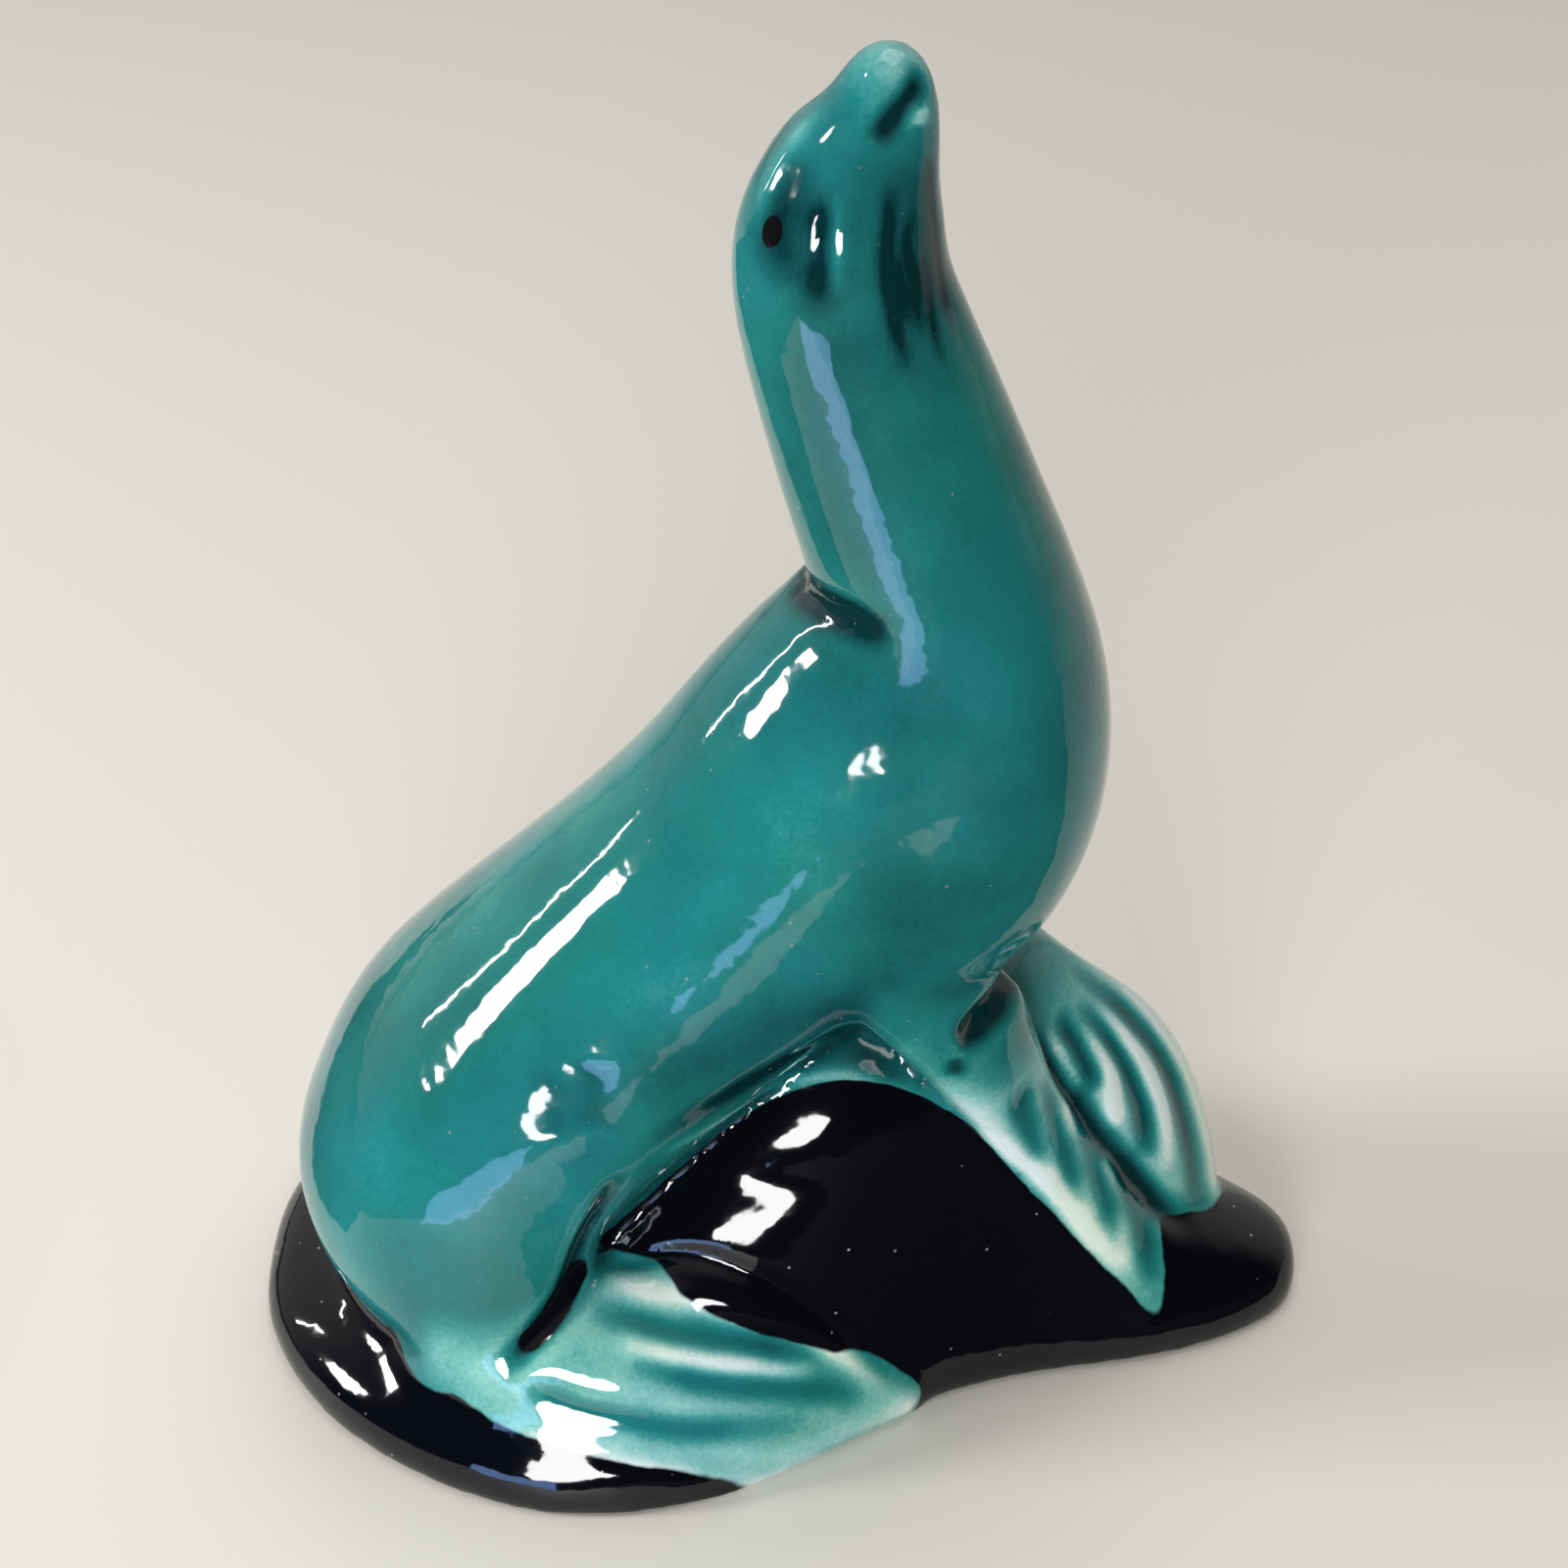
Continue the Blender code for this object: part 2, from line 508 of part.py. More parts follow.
def build():
    """Build the figurine."""
    for old in list(bpy.data.objects):
        bpy.data.objects.remove(old, do_unlink=True)
    figure = bpy.data.collections.new("pottery_seal_figurine")
    tools = bpy.data.collections.new("cutters")
    bpy.context.scene.collection.children.link(figure)
    bpy.context.scene.collection.children.link(tools)

    torso = body_stations(TORSO)
    neck = body_stations(NECK)
    seat = body_stations(SEAT)
    forms = [limb_rings(torso, count=90, around=56), limb_rings(neck, count=110, around=56)]
    forms += [limb_rings(seat), rock_rings(floor=-1.2, count=90)]
    forms += [limb_rings(NEAR_FLIPPER), limb_rings(FAR_FLIPPER), limb_rings(WEB)]
    for stations in (HIND_FLIPPER, THIGH):
        rings = limb_rings(stations)
        forms += [rings, mirrored(rings)]
    skin = joined_skin("skin", forms, SKIN_VOXEL, SKIN_SOFTENING, figure)
    thigh = np.array(THIGH)
    melt_folds(skin.data, [torso, neck, seat, thigh, thigh * (1, -1, 1, 1, -1, 1, 1, 1, 1)])
    press_grooves(skin.data)
    seal = thinned("seal_figurine", skin, SKIN_FACES, figure)

    wall = WALL / UNIT
    floor = FOOT_WALL / UNIT
    inner = [limb_rings(torso, wall, count=40, around=24), limb_rings(neck, wall, count=50, around=24)]
    inner += [limb_rings(seat, wall), rock_rings(wall, floor)]
    hollow = joined_skin("hollow", inner, HOLLOW_VOXEL, 2, tools)
    hollow = thinned("hollow_cutter", hollow, HOLLOW_FACES, tools)
    hollow.display_type = "WIRE"
    hollow.hide_render = True
    subtract(seal, "hollow", hollow)
    slab = cutter("foot_cutter", slab_mesh("foot_cutter", HEIGHT, 0.1 * HEIGHT), tools)
    subtract(seal, "flat_foot", slab)

    radius = POUR_HOLE_RADIUS / UNIT
    below = (POUR_HOLE_X, 0.0, -4.0)
    above = (POUR_HOLE_X, 0.0, floor + 3.0)
    pour = tube_stations(below, above, (1.0, 0.0, 0.0), radius, radius)
    pour_mesh = mesh_of("pour_hole_cutter", [limb_rings(pour, count=2, around=32)])
    subtract(seal, "pour_hole", cutter("pour_hole_cutter", pour_mesh, tools))

    eye = EYE_HOLE_RADIUS / UNIT
    tube = tube_stations(EYE_FROM, EYE_TO, (0.0, 0.0, 1.0), eye, eye * EYE_HOLE_STRETCH)
    rings = limb_rings(tube, count=2, around=14)
    near_mesh = mesh_of("near_eye_cutter", [rings])
    subtract(seal, "near_eye", cutter("near_eye_cutter", near_mesh, tools))
    far_mesh = mesh_of("far_eye_cutter", [mirrored(rings)])
    subtract(seal, "far_eye", cutter("far_eye_cutter", far_mesh, tools))

    seal.data.materials.clear()
    seal.data.materials.append(glaze("teal_glaze", TEAL_GLAZE, 0.08))
    seal.data.shade_smooth()
    return seal


build()
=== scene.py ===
"""Dress the pottery seal figurine: one slip-cast seal reared up on a rock, in two glossy glazes.

The seal faces +X, its right side is towards -Y and +Z is up. The forms are smooth lofts worked
out with numpy, joined by a voxel remesh, and given their flutes, creases and swellings along
smooth lines. Where the glaze pooled in a hollow or thinned over an edge is worked out from the
finished surface and kept as attributes, which the glaze material turns into colour. Some
strokes and spots add painted shade under the belly and chest and painted sheen on the back and
shoulder, and the walls of the eye holes are painted black, painted shade.
"""

import logging
import math
from dataclasses import dataclass, replace
from enum import Enum
from typing import Any, Iterable, Sequence

import bpy
import numpy as np
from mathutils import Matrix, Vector

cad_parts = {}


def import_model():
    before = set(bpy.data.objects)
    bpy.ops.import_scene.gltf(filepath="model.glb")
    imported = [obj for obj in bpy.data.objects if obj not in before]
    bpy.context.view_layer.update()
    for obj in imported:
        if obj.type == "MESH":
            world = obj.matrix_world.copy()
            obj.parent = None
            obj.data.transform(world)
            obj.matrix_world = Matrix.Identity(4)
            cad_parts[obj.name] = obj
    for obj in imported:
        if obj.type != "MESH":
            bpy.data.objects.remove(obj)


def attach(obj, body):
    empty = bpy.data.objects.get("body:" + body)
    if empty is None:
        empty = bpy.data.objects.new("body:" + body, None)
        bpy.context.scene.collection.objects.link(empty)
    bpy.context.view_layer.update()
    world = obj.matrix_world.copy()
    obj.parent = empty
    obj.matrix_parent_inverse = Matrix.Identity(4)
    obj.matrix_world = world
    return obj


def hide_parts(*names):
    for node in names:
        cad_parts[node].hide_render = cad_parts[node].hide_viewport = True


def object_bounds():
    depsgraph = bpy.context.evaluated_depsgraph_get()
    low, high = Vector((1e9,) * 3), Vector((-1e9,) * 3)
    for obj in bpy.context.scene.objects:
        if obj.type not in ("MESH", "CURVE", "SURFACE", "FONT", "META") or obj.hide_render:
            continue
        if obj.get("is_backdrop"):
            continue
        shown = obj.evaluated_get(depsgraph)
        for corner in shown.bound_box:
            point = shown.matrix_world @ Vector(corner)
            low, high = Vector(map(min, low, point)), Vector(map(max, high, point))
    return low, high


LOG = logging.getLogger("pottery_seal")

NODE = "seal_figurine"
PIECE = "glazed_seal"
DRAWN_HEIGHT = 162.0
BODY_AROUND = 56
MIRROR = np.array([1.0, -1.0, 1.0])

Rows = Sequence[Sequence[float]]
Stops = Sequence[tuple[float, Sequence[float]]]


class Side(Enum):
    """Which side of the figure a form or a line is on."""

    NEAR = "near"
    BOTH = "both"


class Panel(Enum):
    """The outline of a panel lamp."""

    SQUARE = "RECTANGLE"
    ROUND = "ELLIPSE"


def spline(points: Rows, count: int) -> np.ndarray:
    """Sample a smooth line: a cubic B-spline whose end points are met by mirroring them.

    Args:
        points: Rows of numbers, such as a place or a place with its sizes.
        count: How many samples to return.

    Returns:
        An array of count rows.
    """
    rows = np.asarray(points, dtype=float)
    rows = np.vstack([2.0 * rows[0] - rows[1], rows, 2.0 * rows[-1] - rows[-2]])
    place = np.linspace(0.0, len(rows) - 3.0, count)
    span = np.minimum(place.astype(int), len(rows) - 4)
    part = (place - span)[:, None]
    weights = (
        (1.0 - part) ** 3 / 6.0,
        (3.0 * part**3 - 6.0 * part**2 + 4.0) / 6.0,
        (-3.0 * part**3 + 3.0 * part**2 + 3.0 * part + 1.0) / 6.0,
        part**3 / 6.0,
    )
    return sum(weight * rows[span + step] for step, weight in enumerate(weights))


def unit(rows: np.ndarray) -> np.ndarray:
    """Return the rows scaled to length one."""
    return rows / np.maximum(np.linalg.norm(rows, axis=-1, keepdims=True), 1.0e-12)


def smoothstep(low: float, high: float, value: np.ndarray) -> np.ndarray:
    """Ramp from 0 at low to 1 at high with level ends: 3 t squared less 2 t cubed."""
    part = np.clip((value - low) / (high - low), 0.0, 1.0)
    return part * part * (3.0 - 2.0 * part)


@dataclass(frozen=True)
class Limb:
    """An oval form carried along a curved middle line, in drawn millimetres.

    Each station has a place, the way the broad face looks, a half width, and a half thickness
    outwards and inwards.
    """

    stations: Rows
    side: Side = Side.NEAR
    count: int = 48
    around: int = 32

    def frame(self, count: int) -> tuple[np.ndarray, np.ndarray, np.ndarray, np.ndarray]:
        """Work out the middle line and the directions and sizes of the oval along it.

        Args:
            count: How many places along the limb.

        Returns:
            The middle line, the outward directions, the sideways directions and the sizes.
        """
        rows = spline(self.stations, count)
        middle = rows[:, :3]
        along = unit(np.gradient(middle, axis=0))
        out = rows[:, 3:6]
        out = unit(out - (out * along).sum(axis=1)[:, None] * along)
        return middle, out, np.cross(along, out), rows[:, 6:9]

    def rings(self, inset: float = 0.0) -> list[np.ndarray]:
        """Place the ovals: width by the cosine and thickness by the sine of the turn.

        Args:
            inset: How far the form is drawn in all round.

        Returns:
            One array of rings, or two where the other side has its mirror image.
        """
        middle, out, side, sizes = self.frame(self.count)
        sizes = np.maximum(sizes - inset, 0.3)
        turn = np.linspace(0.0, 2.0 * np.pi, self.around, endpoint=False)
        across = sizes[:, :1] * np.cos(turn)
        thick = np.where(np.sin(turn) > 0.0, sizes[:, 1:2], sizes[:, 2:3]) * np.sin(turn)
        ring = middle[:, None] + across[..., None] * side[:, None] + thick[..., None] * out[:, None]
        if self.side is Side.NEAR:
            return [ring]
        return [ring, (ring * MIRROR)[:, ::-1]]

    def reach(self, points: np.ndarray, under: float = 99.0) -> np.ndarray:
        """Measure roughly how far points are outside the limb.

        At each station the point's height over the oval is (r - 1) times the oval's size, where
        r is its place as a share of the oval. That and its offset along the limb make a right
        triangle, and the station with the shortest long side counts.

        Args:
            points: Places in drawn millimetres.
            under: How far below its broad middle the limb counts. Lower down, the depth is
                added to the distance.

        Returns:
            A distance for each point, 0 inside the limb.
        """
        best = np.full(len(points), 1.0e9)
        middle, out, side, sizes = self.frame(4 * len(self.stations) + 40)
        along = np.cross(out, side)
        for hand in (1.0, -1.0) if self.side is Side.BOTH else (1.0,):
            placed = points * np.array([1.0, hand, 1.0])
            for centre, face, wide, axis, size in zip(middle, out, side, along, sizes):
                away = placed - centre
                up = away @ face
                flat = away @ wide
                thick = np.where(up > 0.0, size[1], size[2])
                length = np.hypot(flat / size[0], up / thick)
                local = np.hypot(flat, up) / np.maximum(length, 1.0e-6)
                height = np.maximum(length - 1.0, 0.0) * local
                deep = np.maximum(-up - under, 0.0)
                best = np.minimum(best, height**2 + (away @ axis) ** 2 + deep**2)
        return np.sqrt(best)


def body_limb(table: Rows, count: int) -> Limb:
    """Turn a table of a body form into a limb whose outward way is towards the back.

    The outward way is the middle line's own direction, turned by a quarter in the x z plane.

    Args:
        table: Rows of x, z, half width, and half thickness towards the back and the belly.
        count: How many rings the limb has.

    Returns:
        The limb.
    """
    rows = np.asarray(table, dtype=float)
    middle = np.column_stack([rows[:, 0], np.zeros(len(rows)), rows[:, 1]])
    along = np.gradient(middle, axis=0)
    back = unit(np.column_stack([-along[:, 2], np.zeros(len(rows)), along[:, 0]]))
    return Limb(np.column_stack([middle, back, rows[:, 2:5]]), count=count, around=BODY_AROUND)


@dataclass(frozen=True)
class Rock:
    """The rock under the seal, a row of sections across it.

    Each station has x, the foot's half width, the rim's height, the crest's half width and
    height, and the height on the middle line.
    """

    stations: Rows
    count: int = 90
    around: int = 56

    def rings(self, inset: float = 0.0, floor: float = 0.0) -> list[np.ndarray]:
        """Place the sections: foot, rim, slope, crest and top, joined by a smooth line.

        Args:
            inset: How far the form is drawn in all round.
            floor: The height of its lower face.

        Returns:
            One array of rings, in a list as for a limb.
        """
        rows = spline(self.stations, self.count)
        rows = rows[np.abs(rows[:, 0]) < abs(self.stations[0][0]) - inset]
        foot, rim, crest, crest_z, top = (rows[:, column] for column in range(1, 6))
        foot = np.maximum(foot - inset, 0.5)
        crest = np.maximum(crest - inset, 0.3)
        rim = np.maximum(rim - 0.5 * inset, floor + 0.5)
        crest_z = np.maximum(crest_z - inset, floor + 1.0)
        top = np.maximum(top - inset, floor + 1.2)
        half = (
            (foot, 0.0 * foot + floor),
            (foot, 0.6 * floor + 0.4 * rim),
            (0.97 * foot + 0.03 * crest, 0.9 * rim),
            (0.86 * foot + 0.14 * crest, rim + 0.06 * (crest_z - rim)),
            (0.50 * foot + 0.50 * crest, 0.52 * rim + 0.48 * crest_z),
            (0.12 * foot + 0.88 * crest, 0.10 * rim + 0.90 * crest_z),
            (0.80 * crest, 0.2 * top + 0.8 * crest_z),
            (0.30 * crest, top),
        )
        outline = [np.stack([-wide, high], axis=1) for wide, high in half]
        outline += [np.stack([wide, high], axis=1) for wide, high in reversed(half)]
        section = np.stack(outline, axis=0)
        smooth = spline(section.reshape(len(section), -1), self.around)
        smooth = smooth.reshape(self.around, len(rows), 2)
        place = np.broadcast_to(rows[:, 0], (self.around, len(rows)))
        return [np.dstack([place, smooth]).transpose(1, 0, 2)]

    def crest_at(self, x: np.ndarray) -> np.ndarray:
        """Return the height of the crest line at each x."""
        rows = spline(self.stations, 200)
        return np.interp(x, rows[:, 0], rows[:, 4])


@dataclass(frozen=True)
class Stroke:
    """A smooth line worked into the skin, in drawn millimetres.

    The depth is less than 0 where the line swells. The pool field says how much
    thicker the glaze lies along the line, from 0 to 1, and less than 0 where it is thinner. Along
    the back and under the belly it is painted sheen and painted shade.
    """

    points: Rows
    depth: float
    width: float
    # thicker or thinner glaze, and on the belly and back lines painted shade and painted sheen
    pool: float = 0.0
    side: Side = Side.NEAR

    def bell(self, points: np.ndarray, spread: float = 1.0, reach: float = 3.0) -> np.ndarray:
        """Work out a bell across the line, 1 on it and 0 far away.

        The bell is the exponential of minus the squared distance in widths. It fades towards
        the two ends of the line as 5 s (1 - s), cut off at 1.

        Args:
            points: Places on the skin in drawn millimetres.
            spread: How many times wider the bell is than the line.
            reach: How many widths from the line the bell is cut off.

        Returns:
            The bell's height at each point.
        """
        width = self.width * spread
        total = np.zeros(len(points))
        path = spline(self.points, 30)
        for hand in (1.0, -1.0) if self.side is Side.BOTH else (1.0,):
            line = path * np.array([1.0, hand, 1.0])
            low = line.min(axis=0) - reach * width
            high = line.max(axis=0) + reach * width
            near = np.flatnonzero(((points > low) & (points < high)).all(axis=1))
            if len(near):
                total[near] += self._along(points[near], line, width)
        return total

    def _along(self, points: np.ndarray, line: np.ndarray, width: float) -> np.ndarray:
        """Work out the bell at points close to one line.

        The gap is the distance to the nearest straight piece of the line, and how far along the
        whole line that piece's nearest place is gives the fade.

        Args:
            points: Places on the skin near the line.
            line: Places along the line.
            width: The gap at which the bell has fallen to 1 / e.

        Returns:
            The bell's height at each point.
        """
        start = line[:-1]
        run = np.diff(line, axis=0)
        away = points[:, None] - start
        square = np.maximum((run * run).sum(axis=1), 1.0e-9)
        share = np.clip((away * run).sum(axis=2) / square, 0.0, 1.0)
        gap = np.linalg.norm(away - share[..., None] * run, axis=2)
        best = gap.argmin(axis=1)
        pick = (np.arange(len(points)), best)
        where = (best + share[pick]) / len(run)
        fade = np.clip(5.0 * where * (1.0 - where) + 0.05, 0.0, 1.0)
        return fade * np.exp(-((gap[pick] / width) ** 2))


@dataclass(frozen=True)
class Spot:
    """A round hollow in the skin, or a swelling where its depth is less than 0, in millimetres."""

    place: Sequence[float]
    size: Sequence[float]
    depth: float
    # thicker or thinner glaze, and on the chest and shoulder spots painted shade and painted light
    pool: float = 0.0
    side: Side = Side.NEAR

    def bell(self, points: np.ndarray) -> np.ndarray:
        """Work out the bell, the exponential of minus the squared distance in sizes.

        Args:
            points: Places on the skin in drawn millimetres.

        Returns:
            The bell's height at each point.
        """
        total = np.zeros(len(points))
        for hand in (1.0, -1.0) if self.side is Side.BOTH else (1.0,):
            centre = np.asarray(self.place) * np.array([1.0, hand, 1.0])
            total += np.exp(-(((points - centre) / self.size) ** 2).sum(axis=1))
        return total


class Skin:
    """A mesh seen as arrays, with the sums over neighbours that the glaze needs."""

    def __init__(self, mesh: bpy.types.Mesh, scale: float) -> None:
        """Read the places, normals and edges, in drawn millimetres.

        Args:
            mesh: The mesh, in metres.
            scale: Metres in one drawn millimetre.
        """
        self.mesh = mesh
        self.scale = scale
        count = len(mesh.vertices)
        flat = np.empty(3 * count)
        mesh.vertices.foreach_get("co", flat)
        self.points = flat.reshape(count, 3) / scale
        mesh.vertices.foreach_get("normal", flat)
        self.normals = flat.reshape(count, 3).copy()
        ends = np.empty(2 * len(mesh.edges), dtype=np.int64)
        mesh.edges.foreach_get("vertices", ends)
        self.ends = ends.reshape(-1, 2)
        both = np.concatenate([self.ends[:, 0], self.ends[:, 1]])
        self.degree = np.maximum(np.bincount(both, minlength=count), 1)

    def eased(self, values: np.ndarray, turns: int) -> np.ndarray:
        """Smooth values over the surface: each turn goes half way to the neighbours' mean.

        Args:
            values: One number or one row for each vertex.
            turns: How many times this is done.

        Returns:
            The smoothed values.
        """
        start, end = self.ends.T
        rows = values.reshape(len(values), -1).copy()
        for _ in range(turns):
            for column in range(rows.shape[1]):
                value = rows[:, column]
                total = np.bincount(start, weights=value[end], minlength=len(value))
                total += np.bincount(end, weights=value[start], minlength=len(value))
                rows[:, column] = 0.5 * value + 0.5 * total / self.degree
        return rows.reshape(values.shape)

    def ease_shape(self, share: np.ndarray, turns: int) -> None:
        """Smooth the surface itself.

        Args:
            share: How much of each turn's smoothing each point takes, from 0 to 1.
            turns: How many times this is done.
        """
        for _ in range(turns):
            self.points += share[:, None] * (self.eased(self.points, 1) - self.points)
        self.move(np.zeros(len(self.points)))

    def hollowness(self, turns: int) -> np.ndarray:
        """Return how far the eased surface lies above each point, more than 0 in a hollow."""
        return ((self.eased(self.points, turns) - self.points) * self.normals).sum(axis=1)

    def move(self, moves: np.ndarray) -> None:
        """Move the points along their normals, and write them to the mesh.

        Args:
            moves: How far each point goes, in drawn millimetres.
        """
        self.points += moves[:, None] * self.normals
        self.mesh.vertices.foreach_set("co", (self.points * self.scale).ravel())
        self.mesh.update()
        flat = np.empty(3 * len(self.points))
        self.mesh.vertices.foreach_get("normal", flat)
        self.normals = flat.reshape(-1, 3).copy()

    def keep(self, name: str, values: np.ndarray) -> None:
        """Store values on the face corners, which a Boolean keeps on the faces that it cuts.

        Args:
            name: The attribute's name.
            values: One number for each vertex.
        """
        corner = np.empty(len(self.mesh.loops), dtype=np.int64)
        self.mesh.loops.foreach_get("vertex_index", corner)
        layer = self.mesh.attributes.new(name, "FLOAT", "CORNER")
        layer.data.foreach_set("value", values[corner].astype(np.float32))


@dataclass
class SealCasting:
    """The whole cast piece: lofts joined to one skin, worked over, hollowed and pierced.

    Its sizes are in drawn millimetres, and scale is the metres in one of them. The rows of
    torso, neck and seat are x, z, half width, and half thickness towards the back and the
    belly. Those of rock_table are a rock's stations, and the other tables a limb's.
    """

    scale: float
    wall: float = 4.5
    foot_wall: float = 5.0
    pour_hole_radius: float = 11.5
    pour_hole_x: float = -6.0
    eye_hole_radius: float = 1.25
    eye_hole_stretch: float = 1.25
    voxel: float = 0.80
    softening: int = 8
    hollow_voxel: float = 2.6
    hollow_softening: int = 2
    sharp_over: float = 50.0
    under_floor: float = 1.2

    # how far the folds between the forms melt, and how often the skin there is smoothed
    fold_reach: float = 5.0
    fold_turns: int = 120
    rock_turns: int = 40
    rear_fold_z: float = 9.5
    rear_fold_width: float = 3.5
    rear_fold_turns: int = 110

    # how far the green glaze goes beyond the forms, where its level rear border lies, and the
    # height under which it ran thin on the flippers
    green_over_body: float = 0.9
    green_over_flippers: float = 0.8
    rear_border_x: float = -24.0
    rear_border_z: float = 12.6
    thin_below: float = 40.0

    torso: Rows = (
        (-57.5, 15.0, 3.0, 3.0, 3.0),
        (-55.0, 17.0, 19.0, 11.0, 11.0),
        (-48.0, 21.0, 28.0, 15.5, 17.0),
        (-39.0, 28.0, 31.5, 20.0, 20.0),
        (-26.0, 39.0, 29.0, 21.5, 18.0),
        (-12.0, 51.0, 24.5, 22.5, 16.0),
        (0.0, 62.0, 23.0, 23.5, 17.0),
        (9.0, 72.0, 22.3, 25.0, 17.0),
        (17.0, 82.0, 21.3, 24.5, 14.0),
        (23.0, 91.0, 18.5, 23.5, 9.0),
        (26.5, 97.5, 13.0, 19.0, 5.0),
        (28.0, 101.0, 6.0, 8.0, 3.0),
    )
    neck: Rows = (
        (4.0, 55.0, 8.0, 4.0, 8.0),
        (9.0, 60.0, 19.0, 10.0, 15.0),
        (16.0, 68.0, 22.3, 15.0, 17.0),
        (20.5, 78.0, 22.8, 17.0, 16.6),
        (21.5, 88.0, 21.8, 17.0, 15.2),
        (19.5, 97.0, 19.0, 15.8, 14.3),
        (15.8, 107.0, 15.8, 13.8, 13.5),
        (11.5, 119.0, 13.2, 13.0, 13.0),
        (7.7, 130.0, 11.8, 12.0, 12.0),
        (5.6, 137.0, 11.2, 11.3, 11.3),
        (5.6, 143.0, 10.6, 10.9, 10.9),
        (7.0, 149.0, 9.0, 8.8, 9.4),
        (9.0, 153.5, 6.6, 6.2, 7.0),
        (10.0, 157.5, 5.2, 4.9, 5.4),
        (10.3, 160.8, 3.6, 3.4, 3.7),
        (10.3, 162.0, 1.2, 1.2, 1.2),
    )
    seat: Rows = (
        (-58.0, 16.0, 3.0, 3.0, 3.0),
        (-55.5, 17.0, 18.0, 10.0, 9.0),
        (-49.0, 19.0, 27.5, 14.0, 12.5),
        (-40.0, 21.0, 31.5, 16.0, 15.0),
        (-30.0, 23.0, 29.5, 16.0, 16.0),
        (-22.0, 25.0, 22.0, 14.0, 15.0),
        (-17.0, 26.0, 8.0, 8.0, 8.0),
    )
    rock_table: Rows = (
        (-65.5, 2.0, 4.0, 1.0, 4.5, 5.0),
        (-65.2, 10.0, 5.0, 6.0, 6.0, 6.5),
        (-61.0, 19.5, 6.0, 12.0, 8.0, 8.5),
        (-54.0, 28.5, 6.5, 18.0, 9.0, 10.0),
        (-44.0, 36.0, 7.0, 20.0, 11.0, 13.0),
        (-32.0, 41.5, 7.0, 18.0, 17.0, 20.0),
        (-20.0, 43.0, 5.0, 16.0, 28.0, 31.0),
        (-8.0, 39.5, 4.0, 17.0, 38.5, 43.0),
        (4.0, 32.0, 4.0, 18.0, 47.0, 54.0),
        (16.0, 24.0, 4.0, 17.0, 44.0, 54.0),
        (28.0, 19.5, 4.0, 14.0, 32.0, 41.0),
        (38.0, 18.0, 4.0, 12.0, 21.0, 26.0),
        (48.0, 16.0, 4.0, 10.0, 12.5, 15.0),
        (57.0, 12.5, 4.0, 7.5, 9.5, 10.5),
        (64.4, 7.5, 4.0, 4.0, 6.5, 7.0),
        (65.5, 2.0, 3.0, 1.0, 4.5, 5.0),
    )
    near_flipper: Rows = (
        (10.0, -14.0, 68.0, 0.5, -1.0, 0.1, 11.0, 6.0, 6.0),
        (18.0, -14.5, 57.0, 0.6, -0.9, 0.2, 9.2, 5.5, 7.0),
        (23.3, -12.3, 46.5, 0.65, -0.68, 0.35, 7.6, 4.0, 8.0),
        (27.2, -10.8, 38.2, 0.67, -0.61, 0.42, 6.4, 2.8, 8.0),
        (31.1, -10.0, 31.6, 0.67, -0.61, 0.42, 5.9, 2.4, 8.0),
        (35.5, -9.7, 25.0, 0.67, -0.61, 0.42, 5.6, 2.2, 8.0),
        (39.2, -9.6, 19.5, 0.67, -0.61, 0.42, 5.4, 2.2, 8.0),
        (42.8, -9.9, 13.6, 0.67, -0.61, 0.42, 4.9, 2.2, 8.0),
        (44.9, -12.0, 8.3, 0.67, -0.61, 0.42, 2.4, 1.8, 5.0),
        (45.6, -13.8, 4.2, 0.67, -0.61, 0.42, 0.8, 0.8, 2.0),
    )
    far_flipper: Rows = (
        (18.0, 8.0, 57.0, 0.4, 0.6, 0.4, 9.0, 5.0, 6.0),
        (26.0, 5.0, 46.0, 0.6, -0.2, 0.6, 9.0, 4.0, 7.0),
        (33.0, 2.5, 38.5, 0.66, -0.45, 0.6, 10.0, 3.5, 9.0),
        (40.0, 2.0, 32.0, 0.66, -0.5, 0.5, 11.5, 3.5, 10.0),
        (45.5, 2.0, 24.0, 0.7, -0.5, 0.45, 11.0, 3.5, 10.0),
        (49.5, 1.5, 15.5, 0.75, -0.5, 0.4, 8.5, 3.5, 9.0),
        (52.0, 0.5, 8.0, 0.8, -0.5, 0.35, 4.5, 3.0, 6.0),
        (53.5, -0.5, 2.0, 0.9, -0.4, 0.3, 1.0, 1.4, 3.0),
    )
    web: Rows = (
        (24.0, -3.0, 44.0, 0.73, -0.49, 0.49, 5.0, 4.0, 8.0),
        (30.0, -3.5, 35.0, 0.73, -0.49, 0.49, 7.0, 4.0, 8.0),
        (35.5, -3.0, 26.5, 0.73, -0.49, 0.49, 7.0, 4.0, 8.0),
        (40.5, -3.0, 18.5, 0.73, -0.49, 0.49, 6.0, 4.0, 8.0),
        (43.5, -3.0, 13.0, 0.73, -0.49, 0.49, 4.0, 3.5, 6.0),
        (45.0, -3.0, 10.0, 0.73, -0.49, 0.49, 1.5, 1.5, 3.0),
    )
    hind_flipper: Rows = (
        (-38.0, -25.0, 15.5, 0.0, -0.7, 0.7, 6.0, 6.0, 6.0),
        (-30.0, -28.0, 14.0, 0.0, -0.75, 0.65, 10.5, 6.0, 6.0),
        (-20.0, -29.5, 12.0, 0.0, -0.8, 0.6, 14.0, 6.5, 6.0),
        (-10.0, -29.0, 10.5, 0.0, -0.8, 0.6, 14.0, 6.0, 6.0),
        (0.0, -27.5, 8.0, 0.0, -0.8, 0.6, 11.5, 5.0, 6.0),
        (8.0, -25.5, 5.0, 0.0, -0.8, 0.6, 7.0, 4.0, 4.0),
        (15.5, -24.5, 1.5, 0.0, -0.8, 0.6, 1.5, 2.0, 2.0),
    )
